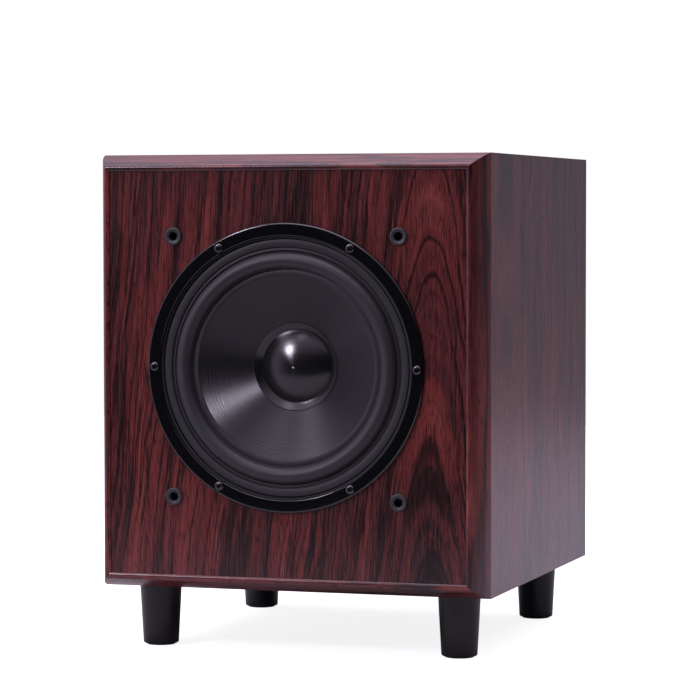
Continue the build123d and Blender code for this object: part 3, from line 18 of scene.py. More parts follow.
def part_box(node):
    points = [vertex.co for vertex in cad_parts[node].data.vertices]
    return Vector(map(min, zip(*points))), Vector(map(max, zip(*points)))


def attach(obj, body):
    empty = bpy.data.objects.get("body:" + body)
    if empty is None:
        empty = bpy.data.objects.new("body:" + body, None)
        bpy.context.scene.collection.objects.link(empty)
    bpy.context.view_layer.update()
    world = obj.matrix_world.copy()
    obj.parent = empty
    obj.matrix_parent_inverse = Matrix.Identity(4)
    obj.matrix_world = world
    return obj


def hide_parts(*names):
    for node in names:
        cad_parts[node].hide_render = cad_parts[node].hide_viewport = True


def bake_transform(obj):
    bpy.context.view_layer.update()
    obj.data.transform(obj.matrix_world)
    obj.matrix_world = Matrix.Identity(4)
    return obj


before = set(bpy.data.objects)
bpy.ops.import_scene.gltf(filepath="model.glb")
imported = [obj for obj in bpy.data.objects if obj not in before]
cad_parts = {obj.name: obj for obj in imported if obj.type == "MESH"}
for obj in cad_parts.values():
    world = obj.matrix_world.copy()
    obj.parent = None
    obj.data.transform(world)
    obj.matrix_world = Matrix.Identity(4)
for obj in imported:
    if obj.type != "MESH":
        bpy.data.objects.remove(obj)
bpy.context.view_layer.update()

log = logging.getLogger("subwoofer")

MM = 0.001
ORIGIN = Vector((0.0, 0.0, 0.0))
Profile = list[tuple[float, float]]
Triple = tuple[float, float, float]
Colour = tuple[float, float, float, float]

# Places shared with the CAD, in millimetres.
NOSE_Y = -176.075
DRIVER_Z = 221.4
DRIVER_CENTRE = Vector((0.0, 0.0, DRIVER_Z))
PLATE_FACE_Y = 160.925
PLATE_Z = 216.25
AXIS_GAP = 0.02  # how near a turned outline comes to its own axis


# ---------------------------------------------------------------- colours and nodes
def linear(hex_colour: str) -> Colour:
    """Turn an sRGB hex colour into linear RGBA.

    Args:
        hex_colour: six hex digits after a hash sign.

    Returns:
        Linear red, green, blue and an alpha of 1.
    """
    values = [int(hex_colour[i : i + 2], 16) / 255 for i in (1, 3, 5)]
    flat = [v / 12.92 if v <= 0.04045 else ((v + 0.055) / 1.055) ** 2.4 for v in values]
    return (flat[0], flat[1], flat[2], 1.0)


def grey(value: float) -> Colour:
    """Grey of one linear value."""
    return (value, value, value, 1.0)


def add(
    tree: bpy.types.NodeTree,
    kind: str,
    inputs: dict | None = None,
    stops: list[tuple[float, Colour]] | None = None,
    **settings: object,
) -> bpy.types.Node:
    """Add one node with its settings and links.

    Args:
        tree: the tree that gets the node.
        kind: the node's type name.
        inputs: socket name or index to a value, or to the output socket that feeds it.
        stops: position and linear colour of each stop, for a colour ramp.
        **settings: attributes of the node.

    Returns:
        The new node.
    """
    node = tree.nodes.new(kind)
    for key, value in settings.items():
        setattr(node, key, value)
    for key, value in (inputs or {}).items():
        if isinstance(value, bpy.types.NodeSocket):
            tree.links.new(value, node.inputs[key])
        else:
            node.inputs[key].default_value = value
    if stops:
        elements = node.color_ramp.elements
        while len(elements) < len(stops):
            elements.new(0.5)
        for element, (position, colour) in zip(elements, stops):
            element.position, element.color = position, colour
    return node


# ---------------------------------------------------------------- finishes
@dataclass(frozen=True)
class Finish:
    """A surface with fine grain in its roughness and relief, and a slow drift in its colour.

    The drift is as wide as drift_grains grains.
    """

    name: str
    colour: str
    roughness: float
    metallic: float = 0.0
    ior: float = 1.5
    coat: float = 0.0
    coat_roughness: float = 0.1
    sheen: float = 0.0
    grain_mm: float = 0.6
    grain_depth_mm: float = 0.01
    tint_spread: float = 0.15
    rough_spread: float = 0.08
    drift_grains: float = 40.0

    def shader(self, tree: bpy.types.NodeTree) -> bpy.types.Node:
        """Add the surface shader with its constant values.

        Args:
            tree: the material's tree.

        Returns:
            The shader node, linked to the output.
        """
        inputs = {
            "Base Color": linear(self.colour),
            "Roughness": self.roughness,
            "Metallic": self.metallic,
            "Coat Weight": self.coat,
            "Coat Roughness": self.coat_roughness,
            "Sheen Weight": self.sheen,
        }
        if not self.metallic:
            inputs["IOR"] = self.ior
        shader = add(tree, "ShaderNodeBsdfPrincipled", inputs)
        add(tree, "ShaderNodeOutputMaterial", {"Surface": shader.outputs[0]})
        return shader

    def material(self) -> bpy.types.Material:
        """Build the material, or give the one already built under this name.

        Returns:
            The material.
        """
        found = bpy.data.materials.get(self.name)
        if found:
            return found
        made = bpy.data.materials.new(self.name)
        made.use_nodes = True
        tree = made.node_tree
        tree.nodes.clear()
        self.pattern(tree, self.shader(tree))
        return made

    def pattern(self, tree: bpy.types.NodeTree, shader: bpy.types.Node) -> None:
        """Link the grain to colour, roughness and relief.

        Args:
            tree: the material's tree.
            shader: the surface shader.
        """
        place = add(tree, "ShaderNodeTexCoord").outputs["Object"]
        fine = add(
            tree,
            "ShaderNodeTexNoise",
            {"Vector": place, "Scale": 1 / (self.grain_mm * MM), "Detail": 3.0, "Roughness": 0.6},
        ).outputs[0]
        broad = add(
            tree,
            "ShaderNodeTexNoise",
            {"Vector": place, "Scale": 1 / (self.drift_grains * self.grain_mm * MM), "Detail": 2.0},
        ).outputs[0]
        low_rough, high_rough = self.roughness - self.rough_spread, self.roughness + self.rough_spread
        shade, rough = (
            add(
                tree,
                "ShaderNodeMapRange",
                {"Value": noise, "From Min": 0.3, "From Max": 0.7, "To Min": low, "To Max": high},
            ).outputs[0]
            for noise, low, high in (
                (broad, 1 - self.tint_spread, 1 + self.tint_spread),
                (fine, max(low_rough, 0.02), min(high_rough, 1.0)),
            )
        )
        tint = add(
            tree, "ShaderNodeVectorMath", {0: linear(self.colour)[:3], "Scale": shade}, operation="SCALE"
        )
        relief = add(
            tree, "ShaderNodeBump", {"Height": fine, "Strength": 1.0, "Distance": self.grain_depth_mm * MM}
        )
        tree.links.new(tint.outputs[0], shader.inputs["Base Color"])
        tree.links.new(rough, shader.inputs["Roughness"])
        tree.links.new(relief.outputs[0], shader.inputs["Normal"])


@dataclass(frozen=True)
class RosewoodVinyl(Finish):
    """Rosewood-print vinyl wrapped on fibreboard: wine-red figure, near-black veins, an embossed pore.

    The film is satin, so it mirrors softly and whitens at a glancing angle. The figure is a flat-sawn board:
    growth rings round a heart line, cut by the board's face, so a shallow heart gives arches and a deep
    one gives straight streaks. The pores are drawn 0.75 mm across, coarser than real ones, so that they show.
    """

    name: str = "rosewood_vinyl"
    colour: str = "#5c2428"
    roughness: float = 0.25
    across: Triple = (1.0, 0.0, 0.0)
    along: Triple = (0.0, 0.0, 1.0)
    heart_mm: float = 0.0
    heart_depth_mm: float = 400.0
    taper: float = 0.0
    seed: float = 0.0
    streak_mm: float = 7.5
    wave_mm: float = 3.0
    emboss_mm: float = 0.035

    def pattern(self, tree: bpy.types.NodeTree, shader: bpy.types.Node) -> None:
        """Link growth rings, veins, fibres and pores, all laid along the board's grain.

        Args:
            tree: the material's tree.
            shader: the surface shader.
        """
        place = add(tree, "ShaderNodeTexCoord").outputs["Object"]
        u, v = (
            add(
                tree,
                "ShaderNodeVectorMath",
                {0: place, 1: tuple(c / MM for c in way)},
                operation="DOT_PRODUCT",
            ).outputs["Value"]
            for way in (self.across, self.along)
        )

        def layer(
            cross: bpy.types.NodeSocket,
            cross_mm: float,
            long_mm: float,
            shift: float,
            detail: float,
            rough: float,
        ) -> bpy.types.NodeSocket:
            """Add one layer of grain, stretched along the board.

            Args:
                cross: the coordinate across the grain, in millimetres.
                cross_mm: grain size across the board.
                long_mm: grain size along the board.
                shift: offset that keeps the layers apart.
                detail: octaves of the noise.
                rough: how strong the finer octaves are.

            Returns:
                The layer's value, about 0.5 on average.
            """
            cells = [
                add(tree, "ShaderNodeMath", {0: way, 1: 1 / size, 2: shift}, operation="MULTIPLY_ADD")
                for way, size in ((cross, cross_mm), (v, long_mm))
            ]
            ends = {0: cells[0].outputs[0], 1: cells[1].outputs[0], 2: self.seed}
            spot = add(tree, "ShaderNodeCombineXYZ", ends).outputs[0]
            inputs = {"Vector": spot, "Scale": 1.0, "Detail": detail, "Roughness": rough}
            return add(tree, "ShaderNodeTexNoise", inputs).outputs[0]

        wander = add(
            tree,
            "ShaderNodeMath",
            {0: layer(u, 55.0, 120.0, 3.1, 2.0, 0.5), 1: 4 * self.wave_mm, 2: -2 * self.wave_mm},
            operation="MULTIPLY_ADD",
        ).outputs[0]
        off_heart = add(tree, "ShaderNodeMath", {0: u, 1: -self.heart_mm}, operation="ADD").outputs[0]
        drift = add(tree, "ShaderNodeMath", {0: off_heart, 1: wander}, operation="ADD").outputs[0]
        squared = add(
            tree, "ShaderNodeMath", {0: drift, 1: drift, 2: self.heart_depth_mm**2}, operation="MULTIPLY_ADD"
        )
        radius = add(tree, "ShaderNodeMath", {0: squared.outputs[0]}, operation="SQRT").outputs[0]
        tapered = {0: v, 1: self.taper, 2: radius}
        ring = add(tree, "ShaderNodeMath", tapered, operation="MULTIPLY_ADD").outputs[0]

        streak = layer(ring, self.streak_mm, 190.0, 0.0, 3.0, 0.6)
        patch = layer(ring, 38.0, 300.0, 7.7, 1.0, 0.5)
        line = layer(u, 1.4, 90.0, 2.9, 3.0, 0.7)
        fibre = layer(u, 0.9, 24.0, 1.3, 3.0, 0.6)
        pore = layer(u, 0.75, 12.0, 5.9, 2.0, 0.6)

        mixed = 0.0
        for grain, share in ((patch, 0.35), (streak, 0.55), (line, 0.42)):
            inputs = {0: grain, 1: share, 2: mixed}
            mixed = add(tree, "ShaderNodeMath", inputs, operation="MULTIPLY_ADD").outputs[0]
        value = add(tree, "ShaderNodeMapRange", {"Value": mixed, "From Min": 0.43, "From Max": 0.87})
        figure = [
            (0.14, linear("#1d1314")),
            (0.32, linear("#381b1b")),
            (0.47, linear("#512321")),
            (0.64, linear("#622825")),
            (0.90, linear("#733631")),
        ]
        coloured = add(tree, "ShaderNodeValToRGB", {"Fac": value.outputs[0]}, stops=figure).outputs[0]

        inputs = {0: fibre, 1: 0.14, 2: -0.07}
        ragged = add(tree, "ShaderNodeMath", inputs, operation="MULTIPLY_ADD").outputs[0]
        vein, hair = (
            add(tree, "ShaderNodeMath", {0: grain, 1: ragged}, operation="ADD").outputs[0]
            for grain in (layer(ring, 6.0, 280.0, 4.4, 2.0, 0.5), layer(ring, 1.9, 150.0, 8.3, 2.0, 0.5))
        )
        for grain, darks in (
            (vein, ((0.44, 1.0), (0.475, 0.22), (0.51, 0.22), (0.545, 1.0))),
            (hair, ((0.42, 1.0), (0.47, 0.7), (0.51, 0.7), (0.56, 1.0))),
            (pore, ((0.36, 0.32), (0.47, 1.0))),
        ):
            levels = [(at, grey(level)) for at, level in darks]
            dark = add(tree, "ShaderNodeValToRGB", {"Fac": grain}, stops=levels)
            inputs = {0: coloured, 1: dark.outputs[0]}
            coloured = add(tree, "ShaderNodeVectorMath", inputs, operation="MULTIPLY").outputs[0]
        tree.links.new(coloured, shader.inputs["Base Color"])

        rough = add(
            tree,
            "ShaderNodeMapRange",
            {
                "Value": fibre,
                "From Min": 0.3,
                "From Max": 0.7,
                "To Min": self.roughness - 0.05,
                "To Max": self.roughness + 0.07,
            },
        )
        tree.links.new(rough.outputs[0], shader.inputs["Roughness"])
        height = add(tree, "ShaderNodeMath", {0: pore, 1: 0.6, 2: fibre}, operation="MULTIPLY_ADD").outputs[0]
        relief = add(
            tree, "ShaderNodeBump", {"Height": height, "Strength": 1.0, "Distance": self.emboss_mm * MM}
        )
        tree.links.new(relief.outputs[0], shader.inputs["Normal"])


@dataclass(frozen=True)
class Turned(Finish):
    """A turned or moulded disc: rings about the driver's axis, in relief and in the sheen's direction.

    The rings are drawn about 1 mm apart, coarser than real tool marks, so that they show.
    """

    ring_mm: float = 0.5
    ring_depth_mm: float = 0.02
    anisotropy: float = 0.6

    def pattern(self, tree: bpy.types.NodeTree, shader: bpy.types.Node) -> None:
        """Link rings about the driver's axis.

        Args:
            tree: the material's tree.
            shader: the surface shader.
        """
        place = add(tree, "ShaderNodeTexCoord").outputs["Object"]
        spoke = add(
            tree, "ShaderNodeVectorMath", {0: place, 1: (0.0, 0.0, DRIVER_Z * MM)}, operation="SUBTRACT"
        ).outputs[0]
        inputs = {0: spoke, 1: (1.0, 0.0, 1.0)}
        flat = add(tree, "ShaderNodeVectorMath", inputs, operation="MULTIPLY").outputs[0]
        radius = add(tree, "ShaderNodeVectorMath", {0: flat}, operation="LENGTH").outputs["Value"]
        ring = add(tree, "ShaderNodeMath", {0: radius, 1: 1 / (self.ring_mm * MM)}, operation="MULTIPLY")
        cell = add(tree, "ShaderNodeCombineXYZ", {0: ring.outputs[0]}).outputs[0]
        rings = add(
            tree, "ShaderNodeTexNoise", {"Vector": cell, "Scale": 1.0, "Detail": 4.0, "Roughness": 0.65}
        ).outputs[0]
        relief = add(
            tree, "ShaderNodeBump", {"Height": rings, "Strength": 1.0, "Distance": self.ring_depth_mm * MM}
        )
        tree.links.new(relief.outputs[0], shader.inputs["Normal"])
        gloss = add(
            tree,
            "ShaderNodeMapRange",
            {
                "Value": rings,
                "From Min": 0.3,
                "From Max": 0.7,
                "To Min": self.roughness * 0.7,
                "To Max": self.roughness * 1.45,
            },
        )
        tree.links.new(gloss.outputs[0], shader.inputs["Roughness"])
        tangent = add(tree, "ShaderNodeVectorMath", {0: flat}, operation="NORMALIZE")
        tree.links.new(tangent.outputs[0], shader.inputs["Tangent"])
        shader.inputs["Anisotropic"].default_value = self.anisotropy


@dataclass(frozen=True)
class TwoColourNylon(Finish):
    """Nylon washers of two colours in one node, told apart by which side of a line they sit on."""

    split_x: float = 43.0
    other: str = "#d8d6d0"

    def pattern(self, tree: bpy.types.NodeTree, shader: bpy.types.Node) -> None:
        """Link the two colours.

        Args:
            tree: the material's tree.
            shader: the surface shader.
        """
        place = add(tree, "ShaderNodeTexCoord").outputs["Object"]
        x = add(tree, "ShaderNodeSeparateXYZ", {0: place}).outputs[0]
        side = add(tree, "ShaderNodeMath", {0: x, 1: self.split_x * MM}, operation="GREATER_THAN").outputs[0]
        pair = [(0.0, linear(self.colour)), (1.0, linear(self.other))]
        tint = add(tree, "ShaderNodeValToRGB", {"Fac": side}, stops=pair)
        tree.links.new(tint.outputs[0], shader.inputs["Base Color"])


class Material(Enum):
    """Every finish on the object, under the name of the real material."""

    # Moulded plastics: polished tool steel leaves a mirror, spark-eroded steel a fine satin.
    GLOSS_ABS = Finish(
        "gloss_black_abs", "#08080a", 0.12, ior=1.58, grain_mm=3.0, grain_depth_mm=0.004, rough_spread=0.03
    )
    SATIN_ABS = Finish("satin_black_abs", "#101013", 0.3, ior=1.4, grain_mm=0.5, grain_depth_mm=0.012)
    RED_ABS = Finish("red_abs", "#a3161a", 0.33, grain_mm=0.6)
    BLACK_ABS = Finish("black_abs", "#1a1a1c", 0.33, grain_mm=0.6)
    PHONO = TwoColourNylon("red_and_white_nylon", "#a81a1c", 0.4)
    # Cast acrylic: clear over its red, so it keeps one sharp highlight.
    LENS = Finish("red_acrylic", "#7a1014", 0.12, coat=0.6, grain_mm=1.0, grain_depth_mm=0.001)
    # Rubbers: almost no mirror, a soft grey bloom on what faces the light.
    BUTYL = Finish("butyl_rubber", "#131316", 0.52, sheen=0.04, grain_mm=0.35, grain_depth_mm=0.008)
    SOFT_RUBBER = Finish("moulded_soft_rubber", "#1f1f23", 0.5, grain_mm=0.3, grain_depth_mm=0.01)
    # Turned polypropylene: fine rings that draw the light out into a bright wedge.
    CONE_PP = Turned(
        "turned_black_polypropylene",
        "#0d0d0f",
        0.30,
        ior=1.4,
        ring_mm=1.1,
        ring_depth_mm=0.14,
        anisotropy=0.9,
    )
    CAP_PP = Turned(
        "moulded_black_polypropylene", "#0e0e10", 0.20, ring_mm=0.9, ring_depth_mm=0.06, anisotropy=0.5
    )
    # Plated and bare metals: dark mirror on black zinc, cool grey on zinc, warm and bright on nickel.
    BLACK_ZINC = Finish("black_zinc_steel", "#47464a", 0.27, metallic=1.0, grain_mm=0.3, grain_depth_mm=0.006)
    ZINC = Finish("zinc_plated_steel", "#b4b7bb", 0.34, metallic=1.0, grain_mm=0.5, grain_depth_mm=0.004)
    NICKEL = Finish("nickel_plated_brass", "#c9c5bc", 0.2, metallic=1.0, grain_mm=0.4, grain_depth_mm=0.002)
    ANODISED = Finish("black_anodised_aluminium", "#242427", 0.36, metallic=0.9, grain_mm=0.4)
    BRAID = Finish("tinned_copper_braid", "#b98f66", 0.35, metallic=1.0, grain_mm=0.25, grain_depth_mm=0.08)
    COPPER = Finish("enamelled_copper_wire", "#c06a3e", 0.28, metallic=1.0, grain_mm=0.3)
    # Powder coat and sintered ferrite: dull and faintly pebbled.
    POWDER = Finish("black_powder_coat", "#0c0c0d", 0.6, grain_mm=0.8, grain_depth_mm=0.04, rough_spread=0.1)
    FERRITE = Finish("sintered_ferrite", "#29292a", 0.62, grain_mm=0.7, grain_depth_mm=0.03)
    # Films, sleeves and boards: smooth and a little glossy.
    KAPTON = Finish("polyimide_film", "#8a4a14", 0.28, grain_mm=2.0)
    SLEEVE = Finish("printed_pvc_sleeve", "#1f2c48", 0.3, grain_mm=1.5)
    TAPE = Finish("polyester_tape", "#c3a62c", 0.35, coat=0.3, grain_mm=2.0)
    PVC = Finish("red_and_black_pvc", "#6a1416", 0.4, grain_mm=0.6)
    LAMINATE = Finish("glass_epoxy_laminate", "#1c4a2a", 0.34, coat=0.4, grain_mm=0.6)
    PHENOLIC = Finish("phenolic_board", "#5a3718", 0.45, grain_mm=0.6)
    PRINT = Finish("white_screen_print", "#c9c9c6", 0.5, grain_mm=0.5, grain_depth_mm=0.002)
    # Cloth, fleece, foam and raw board: fibrous or open, with no mirror at all.
    CLOTH = Finish("treated_cotton_cloth", "#b07a34", 0.85, sheen=0.3, grain_mm=0.3, grain_depth_mm=0.06)
    FLEECE = Finish("polyester_fleece", "#dcdcd8", 0.95, sheen=0.5, grain_mm=1.2, grain_depth_mm=0.4)
    FOAM = Finish("closed_cell_foam", "#1b1b1d", 0.95, grain_mm=0.5, grain_depth_mm=0.05)
    FIBREBOARD = Finish("medium_density_fibreboard", "#a27c54", 0.85, grain_mm=0.7, grain_depth_mm=0.03)
    # One vinyl per board, so that no two boards share their figure.
    FRONT_VINYL = RosewoodVinyl(
        "rosewood_vinyl_front", heart_mm=113.0, heart_depth_mm=26.0, taper=0.11, seed=4.2, wave_mm=4.0
    )
    REAR_VINYL = RosewoodVinyl(
        "rosewood_vinyl_rear", heart_mm=-60.0, heart_depth_mm=20.0, taper=0.12, seed=9.1
    )
    LEFT_VINYL = RosewoodVinyl("rosewood_vinyl_left", across=(-0.7, 1.0, 0.0), seed=1.7)
    RIGHT_VINYL = RosewoodVinyl(
        "rosewood_vinyl_right", across=(0.7, 1.0, 0.0), seed=12.4, wave_mm=6.0, streak_mm=6.0
    )
    TOP_VINYL = RosewoodVinyl(
        "rosewood_vinyl_top", across=(0.0, 1.0, -0.7), along=(1.0, 0.0, 0.0), seed=6.3
    )
    BASE_VINYL = RosewoodVinyl(
        "rosewood_vinyl_base", across=(0.0, 1.0, 0.7), along=(1.0, 0.0, 0.0), seed=15.8
    )


CAD_FINISHES: dict[Material, tuple[str, ...]] = {
    Material.FRONT_VINYL: ("front_baffle",),
    Material.REAR_VINYL: ("rear_panel",),
    Material.LEFT_VINYL: ("side_panel_left",),
    Material.RIGHT_VINYL: ("side_panel_right",),
    Material.TOP_VINYL: ("top_panel",),
    Material.BASE_VINYL: ("bottom_panel",),
    Material.FIBREBOARD: ("window_brace",),
    Material.SATIN_ABS: (
        *(f"foot_{end}_{side}" for end in ("front", "rear") for side in ("left", "right")),
        "port_tube",
        "volume_knob",
        "crossover_knob",
        "iec_inlet",
        "fuse_drawer",
        "rocker_housing",
        "terminal_block",
    ),
    Material.GLOSS_ABS: ("power_rocker",),
    Material.SOFT_RUBBER: ("foot_pads",),
    Material.FOAM: ("driver_gasket", "amp_gasket"),
    Material.POWDER: ("basket", "amp_plate"),
    Material.CONE_PP: ("cone",),
    Material.CAP_PP: ("dust_cap",),
    Material.ZINC: (
        "top_plate",
        "yoke",
        "foot_screws",
        "control_pots",
        "switch_bodies",
        "volume_shaft",
        "crossover_shaft",
    ),
    Material.FERRITE: ("magnet",),
    Material.COPPER: ("voice_coil",),
    Material.KAPTON: ("coil_former",),
    Material.PHENOLIC: ("terminal_strip",),
    Material.LAMINATE: ("circuit_board",),
    Material.SLEEVE: ("capacitors",),
    Material.TAPE: ("transformer",),
    Material.PVC: ("speaker_leads",),
    Material.NICKEL: ("rca_shells", "iec_pins"),
    Material.PHONO: ("rca_insulators",),
    Material.RED_ABS: ("terminal_lever_red_left", "terminal_lever_red_right"),
    Material.BLACK_ABS: (
        "terminal_lever_black_left",
        "terminal_lever_black_right",
        "phase_slider",
        "mode_slider",
    ),
    Material.LENS: ("status_led",),
}


# ---------------------------------------------------------------- mesh builders
def mesh_object(
    name: str, verts: list[Vector], faces: list[tuple[int, ...]], finish: Material | None
) -> bpy.types.Object:
    """Make a smooth-shaded object whose edges over 35 degrees stay sharp.

    Args:
        name: the piece's name.
        verts: places in metres.
        faces: corner numbers of each face.
        finish: its material, if it takes one here.

    Returns:
        The object, linked to the scene.
    """
    mesh = bpy.data.meshes.new(name)
    mesh.from_pydata(verts, [], faces)
    shade(mesh)
    if finish:
        mesh.materials.append(finish.value.material())
    made = bpy.data.objects.new(name, mesh)
    bpy.context.scene.collection.objects.link(made)
    return made


def shade(mesh: bpy.types.Mesh, angle: float = 35.0) -> None:
    """Turn normals outwards, shade smooth and keep steep edges sharp.

    Args:
        mesh: the mesh, changed in place.
        angle: edges steeper than this many degrees stay sharp.
    """
    shape = bmesh.new()
    shape.from_mesh(mesh)
    bmesh.ops.remove_doubles(shape, verts=shape.verts, dist=1e-7)
    bmesh.ops.recalc_face_normals(shape, faces=shape.faces)
    shape.to_mesh(mesh)
    shape.free()
    mesh.polygons.foreach_set("use_smooth", [True] * len(mesh.polygons))
    mesh.set_sharp_from_angle(angle=math.radians(angle))


def arc(centre: tuple[float, float], radius: float, start: float, end: float, steps: int) -> Profile:
    """Lay points on an arc.

    Args:
        centre: the arc's centre.
        radius: its radius.
        start: angle of the first point in degrees, from the first axis towards the second.
        end: angle of the last point in degrees.
        steps: spaces between the points.

    Returns:
        The points, one more than there are steps.
    """
    angles = [math.radians(start + (end - start) * i / steps) for i in range(steps + 1)]
    return [(centre[0] + radius * math.cos(a), centre[1] + radius * math.sin(a)) for a in angles]


def lathe(
    name: str, outline: Profile, centre: Vector, finish: Material | None, steps: int = 256
) -> bpy.types.Object:
    """Turn a closed outline about a line along Y.

    Args:
        name: the piece's name.
        outline: closed loop of (radius, Y) in millimetres.
        centre: a point on the turning line, in millimetres.
        finish: its material.
        steps: segments round the turn.

    Returns:
        The object.
    """
    verts = []
    for step in range(steps):
        angle = math.tau * step / steps
        for radius, depth in outline:
            spot = Vector((radius * math.cos(angle), depth, radius * math.sin(angle)))
            verts.append((centre + spot) * MM)
    count = len(outline)
    faces = []
    for step in range(steps):
        after = (step + 1) % steps
        for i in range(count):
            j = (i + 1) % count
            faces.append((step * count + i, step * count + j, after * count + j, after * count + i))
    return mesh_object(name, verts, faces, finish)


def prism(name: str, outline: Profile, near: float, far: float, taper: float = 1.0) -> bpy.types.Object:
    """Make a block of an X-Z outline between two Y planes.

    Args:
        name: the block's name.
        outline: corners (X, Z) in millimetres.
        near: Y of the full-size end, in millimetres.
        far: Y of the other end, in millimetres.
        taper: scale of the outline at the far end.

    Returns:
        The object, with no material.
    """
    count = len(outline)
    verts = [Vector((x, near, z)) * MM for x, z in outline]
    verts += [Vector((x * taper, far, z * taper)) * MM for x, z in outline]
    faces = [tuple(range(count)), tuple(range(2 * count - 1, count - 1, -1))]
    faces += [(i, (i + 1) % count, count + (i + 1) % count, count + i) for i in range(count)]
    return mesh_object(name, verts, faces, None)


def carve(target: bpy.types.Object, cutters: list[bpy.types.Object]) -> bpy.types.Object:
    """Cut pieces out of a target for good and remove the cutters.

    Args:
        target: the object to cut.
        cutters: closed objects to take away from it.

    Returns:
        The target.
    """
    for cutter in cutters:
        cut = target.modifiers.new("cut", "BOOLEAN")
        cut.operation, cut.solver, cut.object = "DIFFERENCE", "EXACT", cutter
        bake(target)
        bpy.data.objects.remove(cutter)
    shade(target.data, 30.0)
    return target


def bake(target: bpy.types.Object) -> bpy.types.Object:
    """Replace an object's mesh by its evaluated one and drop its modifiers.

    Args:
        target: the object with modifiers.

    Returns:
        The same object.
    """
    graph = bpy.context.evaluated_depsgraph_get()
    target.data = bpy.data.meshes.new_from_object(target.evaluated_get(graph), depsgraph=graph)
    target.modifiers.clear()
    return target


# ---------------------------------------------------------------- geometry node trees
def new_tree(name: str, sockets: list[tuple[str, str]]) -> bpy.types.GeometryNodeTree:
    """Make a geometry tree with a geometry output and these inputs.

    Args:
        name: the tree's name.
        sockets: name and socket type of each input.

    Returns:
        The tree.
    """
    tree = bpy.data.node_groups.new(name, "GeometryNodeTree")
    for title, kind in [("Geometry", "NodeSocketGeometry"), *sockets]:
        tree.interface.new_socket(title, in_out="INPUT", socket_type=kind)
    tree.interface.new_socket("Geometry", in_out="OUTPUT", socket_type="NodeSocketGeometry")
    return tree


def close_tree(
    tree: bpy.types.NodeTree, instances: bpy.types.NodeSocket, finish: bpy.types.NodeSocket
) -> None:
    """End a tree with Realize Instances and Set Material.

    Args:
        tree: the tree to end.
        instances: output that carries the geometry.
        finish: output that carries the material.
    """
    real = add(tree, "GeometryNodeRealizeInstances", {0: instances})
    coated = add(tree, "GeometryNodeSetMaterial", {"Geometry": real.outputs[0], "Material": finish})
    add(tree, "NodeGroupOutput", {0: coated.outputs[0]})


def run_tree(target: bpy.types.Object, tree: bpy.types.NodeTree, values: dict[str, object]) -> None:
    """Run a tree on an object and keep the result as a plain mesh.

    Args:
        target: the object, changed in place.
        tree: the tree to run.
        values: socket name to value. Each is set by the socket's identifier.
    """
    modifier = target.modifiers.new(tree.name, "NODES")
    modifier.node_group = tree
    for item in tree.interface.items_tree:
        if item.in_out == "INPUT" and item.name in values:
            modifier[item.identifier] = values[item.name]
    bake(target)


def placed_copies_tree() -> bpy.types.NodeTree:
    """Make the tree that puts a template on every point, each turned about Y by its own angle.

    Returns:
        The tree.
    """
    tree = new_tree(
        "PlacedCopies",
        [
            ("Template", "NodeSocketObject"),
            ("Spin", "NodeSocketFloat"),
            ("Seed", "NodeSocketInt"),
            ("Finish", "NodeSocketMaterial"),
        ],
    )
    given = add(tree, "NodeGroupInput")
    template = add(tree, "GeometryNodeObjectInfo", {"Object": given.outputs["Template"]})
    spin = add(tree, "FunctionNodeRandomValue", {"Seed": given.outputs["Seed"]}, data_type="FLOAT")
    largest = next(s for s in spin.inputs if s.name == "Max" and s.type == "VALUE")
    tree.links.new(given.outputs["Spin"], largest)
    angle = next(s for s in spin.outputs if s.type == "VALUE")
    euler = add(tree, "ShaderNodeCombineXYZ", {1: angle})
    placed = add(
        tree,
        "GeometryNodeInstanceOnPoints",
        {
            "Points": given.outputs["Geometry"],
            "Instance": template.outputs["Geometry"],
            "Rotation": euler.outputs[0],
        },
    )
    close_tree(tree, placed.outputs[0], given.outputs["Finish"])
    return tree


def fins_tree() -> bpy.types.NodeTree:
    """Make the tree that repeats a flat fin in steps and joins the base it is given.

    Returns:
        The tree.
    """
    tree = new_tree(
        "Fins",
        [
            ("Fin Count", "NodeSocketInt"),
            ("Fin Size", "NodeSocketVector"),
            ("First Fin", "NodeSocketVector"),
            ("Step", "NodeSocketVector"),
            ("Finish", "NodeSocketMaterial"),
        ],
    )
    given = add(tree, "NodeGroupInput")
    row = add(
        tree,
        "GeometryNodeMeshLine",
        {
            "Count": given.outputs["Fin Count"],
            "Start Location": given.outputs["First Fin"],
            "Offset": given.outputs["Step"],
        },
    )
    fin = add(tree, "GeometryNodeMeshCube", {"Size": given.outputs["Fin Size"]})
    fins = add(tree, "GeometryNodeInstanceOnPoints", {"Points": row.outputs[0], "Instance": fin.outputs[0]})
    whole = add(tree, "GeometryNodeJoinGeometry")
    tree.links.new(given.outputs["Geometry"], whole.inputs[0])
    tree.links.new(fins.outputs[0], whole.inputs[0])
    close_tree(tree, whole.outputs[0], given.outputs["Finish"])
    return tree


